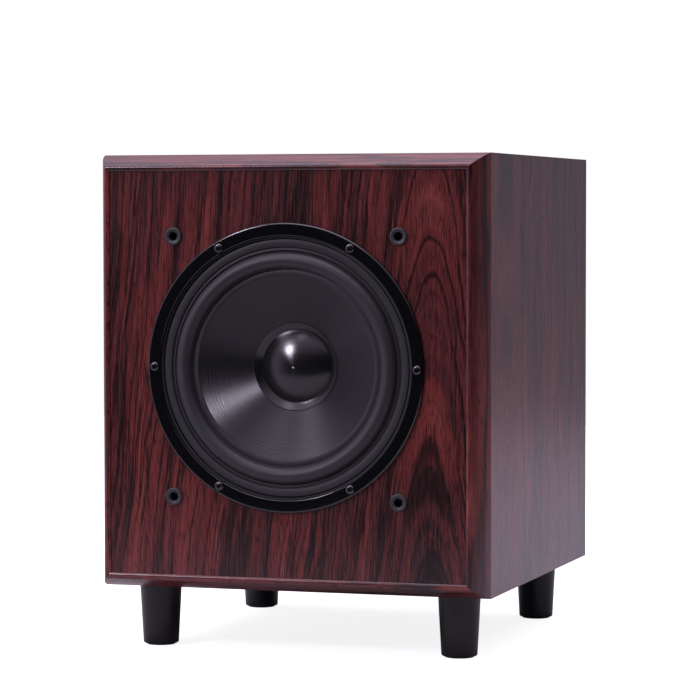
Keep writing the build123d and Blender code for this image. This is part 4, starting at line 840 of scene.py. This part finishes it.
def dial_tree() -> bpy.types.NodeTree:
    """Make the tree that lays printed ticks round a control, on an arc about Y.

    Returns:
        The tree.
    """
    tree = new_tree(
        "DialTicks",
        [
            ("Tick Count", "NodeSocketInt"),
            ("Radius", "NodeSocketFloat"),
            ("Start Angle", "NodeSocketFloat"),
            ("Sweep Angle", "NodeSocketFloat"),
            ("Tick Size", "NodeSocketVector"),
            ("Finish", "NodeSocketMaterial"),
        ],
    )
    given = add(tree, "NodeGroupInput")
    line = add(
        tree,
        "GeometryNodeCurveArc",
        {
            "Resolution": given.outputs["Tick Count"],
            "Radius": given.outputs["Radius"],
            "Start Angle": given.outputs["Start Angle"],
            "Sweep Angle": given.outputs["Sweep Angle"],
        },
    )
    spots = add(tree, "GeometryNodeCurveToPoints", {"Curve": line.outputs["Curve"]}, mode="EVALUATED")
    places, turns = spots.outputs["Points"], spots.outputs["Rotation"]
    tick = add(tree, "GeometryNodeMeshCube", {"Size": given.outputs["Tick Size"]})
    ticks = add(
        tree,
        "GeometryNodeInstanceOnPoints",
        {"Points": places, "Instance": tick.outputs[0], "Rotation": turns},
    )
    stood = add(
        tree,
        "GeometryNodeTransform",
        {"Geometry": ticks.outputs[0], "Rotation": (math.pi / 2, 0.0, 0.0)},
    )
    close_tree(tree, stood.outputs[0], given.outputs["Finish"])
    return tree


# ---------------------------------------------------------------- the object's pieces
def piece(target: bpy.types.Object, body: str, slot: str, *replaced: str) -> bpy.types.Object:
    """Put a new piece on its CAD body, in place of CAD nodes if it stands for any.

    Args:
        target: the finished piece, at the origin.
        body: the CAD body it moves with.
        slot: not used.
        *replaced: CAD nodes it stands for.

    Returns:
        The piece.
    """
    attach(target, body)
    if replaced:
        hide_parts(*replaced)
    log.info("piece %s on %s, in place of %s", target.name, body, ", ".join(replaced) or "nothing")
    return target


def copies(
    name: str,
    template: bpy.types.Object,
    spots: list[Vector],
    finish: Material,
    spin: float,
    seed: int,
) -> bpy.types.Object:
    """Repeat a template at places given in millimetres.

    Args:
        name: the piece's name.
        template: an object modelled about the origin, removed afterwards.
        spots: where each copy goes.
        finish: material of all copies.
        spin: largest turn about Y in radians, drawn per copy.
        seed: seed of the turns.

    Returns:
        One mesh object with every copy.
    """
    made = mesh_object(name, [spot * MM for spot in spots], [], None)
    tree = bpy.data.node_groups.get("PlacedCopies") or placed_copies_tree()
    run_tree(
        made, tree, {"Template": template, "Spin": spin, "Seed": seed, "Finish": finish.value.material()}
    )
    bpy.data.objects.remove(template)
    made.data.set_sharp_from_angle(angle=math.radians(30.0))
    return made


@dataclass(frozen=True)
class PanHead:
    """A pan-head screw with a cross recess, modelled about the middle of its seat. Sizes in millimetres."""

    head_radius: float
    head_height: float
    shank_radius: float
    shank_length: float
    outward: int = -1
    tip_length: float = 1.0
    taper_length: float = 4.0
    recess_half_length: float = 0.52
    recess_half_width: float = 0.13
    recess_floor: float = 0.25

    def build(self) -> bpy.types.Object:
        """Make one screw.

        Returns:
            The screw, its head towards -Y, or +Y if outward is 1.
        """
        radius, height = self.head_radius, self.head_height
        way = self.outward
        turns = [math.radians(a) for a in range(0, 90, 9)]
        crown = [
            (radius * math.cos(a) ** 0.55, way * height * (0.22 + 0.78 * math.sin(a))) for a in turns
        ]
        outline = [
            (AXIS_GAP, -way * self.shank_length),
            (self.shank_radius * 0.55, -way * (self.shank_length - self.tip_length)),
            (self.shank_radius, -way * (self.shank_length - self.taper_length)),
            (self.shank_radius, 0.0),
            (radius - 0.1, 0.0),
            *crown,
            (AXIS_GAP, way * height),
        ]
        screw = lathe("screw", outline, ORIGIN, None, steps=64)
        wing, width = self.recess_half_length * radius, self.recess_half_width * radius
        floor, top = way * height * self.recess_floor, way * (height + 0.5)
        bars = [
            prism("bar", [(-a, -b), (a, -b), (a, b), (-a, b)], top, floor, taper=0.7)
            for a, b in ((wing, width), (width, wing))
        ]
        return carve(screw, bars)


@dataclass(frozen=True)
class Lining:
    """The fleece under the top board. Sizes in millimetres.

    The fleece is drawn as one soft cushion with slow waves, since its single fibres are too fine to draw.
    """

    columns: int = 64
    rows: int = 30
    edge_cells: int = 6
    flat: float = 0.72
    thinnest: float = 0.4

    def build(self) -> None:
        """Make the wadding as a grid, swollen in the middle and pinched at its edges."""
        low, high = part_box("wadding")
        low, high = low / MM, high / MM
        columns, rows = self.columns, self.rows
        thick = high.z - low.z
        verts, faces = [], []
        for layer in (0, 1):
            for row in range(rows + 1):
                for column in range(columns + 1):
                    s, t = column / columns, row / rows
                    side = min(s, 1 - s) * 2 * columns / self.edge_cells
                    end = min(t, 1 - t) * 2 * rows / self.edge_cells
                    swell = min(1.0, side, end) ** 0.5
                    ripple = 0.5 + 0.25 * math.sin(s * 23.0 + t * 7.0) + 0.25 * math.sin(t * 19.0 - s * 5.0)
                    drop = thick * swell * (self.flat + (1 - self.flat) * ripple)
                    height = high.z if layer == 0 else high.z - max(drop, self.thinnest)
                    verts.append(
                        Vector((low.x + (high.x - low.x) * s, low.y + (high.y - low.y) * t, height)) * MM
                    )
        layer_size = (columns + 1) * (rows + 1)

        def corner(row: int, column: int, layer: int) -> int:
            """Give the number of a grid corner.

            Args:
                row: its row.
                column: its column.
                layer: 0 for the glued side, 1 for the free side.

            Returns:
                Its place in the list of corners.
            """
            return layer * layer_size + row * (columns + 1) + column

        for row in range(rows):
            for column in range(columns):
                for layer in (0, 1):
                    faces.append(
                        tuple(
                            corner(row + a, column + b, layer) for a, b in ((0, 0), (0, 1), (1, 1), (1, 0))
                        )
                    )
        rim = [(0, c) for c in range(columns)] + [(r, columns) for r in range(rows)]
        rim += [(rows, c) for c in range(columns, 0, -1)] + [(r, 0) for r in range(rows, 0, -1)]
        for (r0, c0), (r1, c1) in zip(rim, rim[1:] + rim[:1]):
            faces.append((corner(r0, c0, 0), corner(r1, c1, 0), corner(r1, c1, 1), corner(r0, c0, 1)))
        wadding = mesh_object("wadding_fleece", verts, faces, Material.FLEECE)
        piece(wadding, "cabinet", "fleece", "wadding")


@dataclass(frozen=True)
class Driver:
    """The loudspeaker in the baffle: trim ring, surround, spider, leads and screws.

    Radii are about the driver's axis and depths run back from the baffle's nose, in millimetres.
    """

    ring_inner: float = 100.2
    ring_outer: float = 109.9
    ring_back: float = 1.7
    ring_face: float = -1.3
    ring_round: float = 1.5
    lip_round: float = 0.75
    pocket_radius: float = 4.2
    pocket_reach: float = 3.0
    pocket_corners: int = 48
    screws: int = 6
    screw_circle: float = 104.6
    screw_seat: float = -0.1
    roll_middle: float = 81.65
    roll_radius: float = 6.35
    roll_wall: float = 0.9
    roll_depth: float = 3.5
    fixed_radius: float = 90.5
    moving_radius: float = 75.3
    collar_radius: float = 25.5
    collar_flat: float = 4.0
    crests: int = 5
    cloth_half: float = 0.3

    def build(self) -> None:
        """Make the ring, the pieces that bend with the cone, and the screws."""
        self.trim_ring()
        self.surround()
        self.spider()
        self.leads()
        seat = NOSE_Y + self.screw_seat
        spots = [Vector((x, seat, z)) for x, z in self.screw_places()]
        head = PanHead(head_radius=3.75, head_height=2.4, shank_radius=1.75, shank_length=20.0)
        screws = copies("driver_screw_set", head.build(), spots, Material.BLACK_ZINC, spin=1.5, seed=3)
        piece(screws, "cabinet", "black_screw_steel", "driver_screws")

    def screw_places(self) -> Profile:
        """Lay the screws out round the ring.

        Returns:
            X and Z of each screw, in millimetres.
        """
        turns = [math.radians(360 / self.screws * i) for i in range(self.screws)]
        reach = self.screw_circle
        return [(reach * math.cos(a), DRIVER_Z + reach * math.sin(a)) for a in turns]

    def trim_ring(self) -> None:
        """Turn the glossy ring round the driver and sink a pocket for each screw head."""
        outer = (self.ring_outer - self.ring_round, self.ring_face + self.ring_round)
        lip = (self.ring_inner + self.lip_round, self.ring_face + self.lip_round)
        outline = [
            (self.ring_inner, self.ring_back),
            (self.ring_outer, self.ring_back),
            *arc(outer, self.ring_round, 0, -90, 12),
            *arc(lip, self.lip_round, -90, -180, 8),
        ]
        turned = [(radius, NOSE_Y + depth) for radius, depth in outline]
        ring = lathe("trim_ring_gloss", turned, DRIVER_CENTRE, Material.GLOSS_ABS, 360)
        step = 360 / self.pocket_corners
        pockets = []
        for place in self.screw_places():
            edge = arc(place, self.pocket_radius, 0, 360 - step, self.pocket_corners - 1)
            pockets.append(prism("pocket", edge, NOSE_Y - self.pocket_reach, NOSE_Y + self.screw_seat))
        carve(ring, pockets)
        piece(ring, "cabinet", "gloss_black_plastic", "trim_ring")

    @staticmethod
    def bend(target: bpy.types.Object, fixed: float, moving: float) -> None:
        """Bake a flexible ring's placement into its mesh and log it.

        Args:
            target: the ring.
            fixed: not used.
            moving: not used.
        """
        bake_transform(target)
        log.info("piece %s bends between cabinet and cone_assembly", target.name)

    def surround(self) -> None:
        """Turn the half-roll rubber surround with its rim, groove and bead."""
        middle = (self.roll_middle, self.roll_depth)
        outline = [
            (97.5, 4.6),
            (97.5, 2.8),
            (97.3, 2.5),
            (97.0, 2.4),
            (92.1, 2.4),
            (91.8, 2.55),
            (91.6, 2.9),
            (91.4, 3.5),
            (91.0, 3.75),
            (90.5, 3.5),
            *arc((89.5, 3.6), 0.85, 190 - 360, -10, 10)[::-1],
            (88.35, 3.75),
            *arc(middle, self.roll_radius, 0, -180, 36),
            (75.1, 3.75),
            (74.4, 3.7),
            (73.9, 3.5),
            (70.9, 3.5),
            (70.5, 3.65),
            (70.3, 4.0),
            (70.3, 4.3),
            (76.2, 4.3),
            *arc(middle, self.roll_radius - self.roll_wall, -180, 0, 24),
            (87.1, 4.6),
        ]
        turned = [(radius, NOSE_Y + depth) for radius, depth in outline]
        ring = lathe("rubber_surround", turned, DRIVER_CENTRE, Material.BUTYL)
        self.bend(ring, self.fixed_radius, self.moving_radius)
        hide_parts("surround")

    def spider(self) -> None:
        """Turn the corrugated cloth that centres the coil."""
        low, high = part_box("spider")
        near, far = low.y / MM, high.y / MM
        half = self.cloth_half
        middle, swing = (near + far) / 2, (far - near) / 2 - half
        inner, outer, flat = self.collar_radius, high.x / MM, self.collar_flat
        line = []
        for i in range(91):
            radius = inner + (outer - inner) * i / 90
            share = (radius - inner - flat) / (outer - inner - 2 * flat)
            wave = swing * math.sin(math.tau * self.crests * share) if 0 < share < 1 else 0.0
            line.append((radius, middle + wave))
        outline = [(r, y - half) for r, y in line] + [(r, y + half) for r, y in reversed(line)]
        cloth = lathe("cloth_spider", outline, DRIVER_CENTRE, Material.CLOTH, steps=192)
        self.bend(cloth, outer - flat, inner + 3.0)
        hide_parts("spider")

    def leads(self) -> None:
        """Copy the braided leads into a piece of their own, in the braid finish."""
        braid = bpy.data.objects.new("braided_leads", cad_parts["tinsel_leads"].data.copy())
        bpy.context.scene.collection.objects.link(braid)
        braid.data.materials.clear()
        braid.data.materials.append(Material.BRAID.value.material())
        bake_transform(braid)
        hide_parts("tinsel_leads")
        log.info("piece %s bends between cabinet and cone_assembly", braid.name)


@dataclass(frozen=True)
class GrilleSockets:
    """Four rubber cups that take a grille's pegs, each with a star-cut mouth. Sizes in millimetres."""

    across: float = 89.7
    up: float = 99.6
    lip_proud: float = 0.1
    star_points: int = 8
    star_reach: float = 4.15
    star_waist: float = 2.9
    star_depth: float = 3.2

    def build(self) -> None:
        """Turn one cup, cut its star and copy it to the corners."""
        outline = [
            (3.2, 9.0),
            (3.2, 0.9),
            (3.5, 0.55),
            (4.6, 0.25),
            (5.5, 0.0),
            (6.1, 0.05),
            (6.55, 0.35),
            (6.8, 0.9),
            (6.8, 1.8),
            (5.0, 1.8),
            (5.0, 15.8),
            (4.6, 15.8),
            (AXIS_GAP, 15.8),
            (AXIS_GAP, 9.0),
        ]
        cup = lathe("cup", outline, ORIGIN, None, steps=128)
        star = []
        for i in range(2 * self.star_points):
            reach = self.star_waist if i % 2 else self.star_reach
            turn = math.pi * i / self.star_points
            star.append((reach * math.cos(turn), reach * math.sin(turn)))
        carve(cup, [prism("star", star, -0.5, self.star_depth)])
        front = NOSE_Y - self.lip_proud
        columns, rows = (-self.across, self.across), (-self.up, self.up)
        spots = [Vector((x, front, DRIVER_Z + z)) for x in columns for z in rows]
        cups = copies("grille_cups", cup, spots, Material.SOFT_RUBBER, spin=0.4, seed=8)
        piece(cups, "cabinet", "soft_rubber", "grille_sockets")


@dataclass(frozen=True)
class Amplifier:
    """The plate at the back: its screws, heatsink and dial print. Sizes in millimetres, angles in degrees."""

    screw_across: float = 80.0
    screw_rows: tuple[float, ...] = (-117.0, -39.0, 39.0, 117.0)
    knob_across: float = 38.0
    knob_up: float = 84.0
    base_thick: float = 3.0
    fin_thick: float = 1.6
    fins: int = 17
    ticks: int = 11
    tick_radius: float = 15.0
    tick_size: Triple = (0.5, 2.4, 0.06)
    tick_start: float = -60.0
    tick_sweep: float = 300.0

    def build(self) -> None:
        """Make the pieces on the plate."""
        columns, ends = (-self.screw_across, self.screw_across), (self.screw_rows[0], self.screw_rows[-1])
        places = [(x, z) for x in columns for z in self.screw_rows] + [(0.0, z) for z in ends]
        spots = [Vector((x, PLATE_FACE_Y, PLATE_Z + z)) for x, z in places]
        head = PanHead(
            head_radius=3.4, head_height=2.0, shank_radius=1.7, shank_length=12.0, outward=1
        )
        screws = copies("amp_screw_set", head.build(), spots, Material.BLACK_ZINC, spin=1.5, seed=21)
        piece(screws, "cabinet", "black_screw_steel", "amp_screws")
        self.heatsink()
        for side, control in ((self.knob_across, "volume"), (-self.knob_across, "crossover")):
            self.dial(f"{control}_ticks", Vector((side, PLATE_FACE_Y, PLATE_Z + self.knob_up)))

    def heatsink(self) -> None:
        """Make the extruded heatsink from one base and a row of fins."""
        low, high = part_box("heatsink")
        base_thick, fin_thick, fins = self.base_thick * MM, self.fin_thick * MM, self.fins
        centre = (low + high) / 2
        half = (high - low) / 2
        corners = [
            Vector((x, y, z))
            for x in (low.x, high.x)
            for y in (low.y, low.y + base_thick)
            for z in (low.z, high.z)
        ]
        sides = [(0, 1, 3, 2), (4, 5, 7, 6), (0, 1, 5, 4), (2, 3, 7, 6), (0, 2, 6, 4), (1, 3, 7, 5)]
        sink = mesh_object("finned_heatsink", corners, sides, None)
        depth = high.y - low.y - base_thick
        run_tree(
            sink,
            fins_tree(),
            {
                "Fin Count": fins,
                "Fin Size": (fin_thick, depth, 2 * half.z),
                "First Fin": (low.x + fin_thick / 2, high.y - depth / 2, centre.z),
                "Step": ((2 * half.x - fin_thick) / (fins - 1), 0.0, 0.0),
                "Finish": Material.ANODISED.value.material(),
            },
        )
        piece(sink, "cabinet", "black_aluminium", "heatsink")

    def dial(self, name: str, centre: Vector) -> None:
        """Print a ring of ticks round a knob.

        Args:
            name: the piece's name.
            centre: the knob's centre on the plate, in millimetres.
        """
        seed = mesh_object(name, [], [], None)
        tree = bpy.data.node_groups.get("DialTicks") or dial_tree()
        run_tree(
            seed,
            tree,
            {
                "Tick Count": self.ticks,
                "Radius": self.tick_radius * MM,
                "Start Angle": math.radians(self.tick_start),
                "Sweep Angle": math.radians(self.tick_sweep),
                "Tick Size": tuple(side * MM for side in self.tick_size),
                "Finish": Material.PRINT.value.material(),
            },
        )
        seed.data.transform(Matrix.Translation(centre * MM))
        piece(seed, "cabinet", "painted_steel")


@dataclass(frozen=True)
class Softbox:
    """One rectangular light, with its place and size in metres and its power in watts."""

    name: str
    place: Triple
    size: tuple[float, float]
    power: float
    only: str = ""  # the one CAD node that it lights, or every piece if empty


@dataclass(frozen=True)
class Studio:
    """White floor and sky, soft overhead light and the camera. Lengths in metres, angles in radians."""

    camera_place: Triple = (0.7375, -2.326, 0.335)
    yaw: float = 0.3086
    pitch: float = -0.0439
    roll: float = -0.001
    focal_mm: float = 154.9
    tint: str = "#f3e7ff"
    floor_low: tuple[float, float] = (-1.6, -0.7)
    floor_high: tuple[float, float] = (0.85, 2.4)
    goal: Triple = (0.0, -0.15, 0.22)
    lights: tuple[Softbox, ...] = (
        Softbox("overhead", (-0.2, -0.25, 2.3), (2.2, 1.6), 42.0),
        Softbox("upper_left", (-1.5, -2.5, 1.65), (0.42, 0.56), 42.0),
        Softbox("cone_catch_light", (0.9, -3.05, 1.1), (0.26, 0.34), 100.0, "cone"),
        Softbox("dust_cap_catch_light", (-1.42, -2.5, 1.72), (0.75, 0.75), 64.0, "dust_cap"),
    )

    def build(self) -> None:
        """Make floor, sky, lights and camera."""
        (west, south), (east, north) = self.floor_low, self.floor_high
        outline = ((west, south), (east, south), (east, north), (west, north))
        corners = [Vector((x, y, 0.0)) for x, y in outline]
        floor = mesh_object("floor", corners, [(0, 1, 2, 3)], None)
        floor.data.materials.append(self.paper())
        self.sky()
        for light in self.lights:
            self.hang(light)
        self.camera()
        bpy.context.scene.view_settings.view_transform = "Standard"

    @staticmethod
    def paper() -> bpy.types.Material:
        """Make the floor's white paper, lit from behind for the lens so that its shadows stay faint.

        Returns:
            The material.
        """
        made = bpy.data.materials.new("white_paper")
        made.use_nodes = True
        tree = made.node_tree
        tree.nodes.clear()
        sheet = add(tree, "ShaderNodeBsdfDiffuse", {"Color": grey(0.50)})
        lit = add(tree, "ShaderNodeEmission", {"Color": grey(1.0), "Strength": 0.86})
        seen = add(tree, "ShaderNodeLightPath").outputs["Is Camera Ray"]
        dark = add(tree, "ShaderNodeEmission", {"Strength": 0.0})
        glow = add(tree, "ShaderNodeMixShader", {0: seen, 1: dark.outputs[0], 2: lit.outputs[0]})
        both = add(tree, "ShaderNodeAddShader", {0: sheet.outputs[0], 1: glow.outputs[0]})
        add(tree, "ShaderNodeOutputMaterial", {"Surface": both.outputs[0]})
        return made

    def sky(self) -> None:
        """Make the room: white above and behind, dim in front, and pure white as a backdrop."""
        world = bpy.data.worlds.new("white_room")
        world.use_nodes = True
        tree = world.node_tree
        tree.nodes.clear()
        aim = add(tree, "ShaderNodeSeparateXYZ", {0: add(tree, "ShaderNodeTexCoord").outputs["Generated"]})
        level = 0.02
        glows = (("Y", 0.25, 0.85, 0.25), ("X", -0.5, -0.92, 1.1), ("Z", 0.3, 0.85, 1.35))
        for axis, dim, bright, strength in glows:
            glow = add(
                tree,
                "ShaderNodeMapRange",
                {"Value": aim.outputs[axis], "From Min": dim, "From Max": bright, "To Max": strength},
            )
            level = add(tree, "ShaderNodeMath", {0: level, 1: glow.outputs[0]}, operation="ADD").outputs[0]
        room = add(tree, "ShaderNodeBackground", {"Color": linear(self.tint), "Strength": level})
        backdrop = add(tree, "ShaderNodeBackground", {"Color": grey(1.0), "Strength": 1.0})
        seen = add(tree, "ShaderNodeLightPath").outputs["Is Camera Ray"]
        either = add(tree, "ShaderNodeMixShader", {0: seen, 1: room.outputs[0], 2: backdrop.outputs[0]})
        add(tree, "ShaderNodeOutputWorld", {"Surface": either.outputs[0]})
        bpy.context.scene.world = world

    def hang(self, light: Softbox) -> None:
        """Hang one light, aimed at the middle of the object.

        Args:
            light: what to hang.
        """
        data = bpy.data.lights.new(light.name, "AREA")
        data.shape, data.energy = "RECTANGLE", light.power
        data.size, data.size_y = light.size
        data.color = linear(self.tint)[:3]
        lamp = bpy.data.objects.new(light.name, data)
        lamp.location = light.place
        aim = Vector(self.goal) - Vector(light.place)
        lamp.rotation_euler = aim.to_track_quat("-Z", "Y").to_euler()
        bpy.context.scene.collection.objects.link(lamp)
        if light.only:
            lit = bpy.data.collections.new(f"{light.name}_receiver")
            lit.objects.link(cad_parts[light.only])
            lamp.light_linking.receiver_collection = lit

    def camera(self) -> None:
        """Set the camera to look at the front from a little to the right."""
        data = bpy.data.cameras.new("camera")
        data.lens, data.sensor_width = self.focal_mm, 36.0
        view = bpy.data.objects.new("camera", data)
        forward = Vector(
            (
                -math.sin(self.yaw) * math.cos(self.pitch),
                math.cos(self.yaw) * math.cos(self.pitch),
                math.sin(self.pitch),
            )
        )
        look = forward.to_track_quat("-Z", "Y").to_matrix().to_4x4()
        tilt = Matrix.Rotation(self.roll, 4, "Z")
        view.matrix_world = Matrix.Translation(self.camera_place) @ look @ tilt
        bpy.context.scene.collection.objects.link(view)
        bpy.context.scene.camera = view


def finish_cad_nodes() -> None:
    """Give every CAD node that stays on show its finish."""
    for finish, names in CAD_FINISHES.items():
        for name in names:
            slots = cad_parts[name].data.materials
            slots.clear()
            slots.append(finish.value.material())
            log.info("piece %s in %s", name, finish.value.name)


def main() -> None:
    """Build the looks round the frame."""
    logging.basicConfig(level=logging.INFO, format="%(name)s: %(message)s")
    finish_cad_nodes()
    for part in (Lining(), Driver(), GrilleSockets(), Amplifier(), Studio()):
        log.info("building %s", type(part).__name__)
        part.build()


if __name__ == "__main__":
    main()
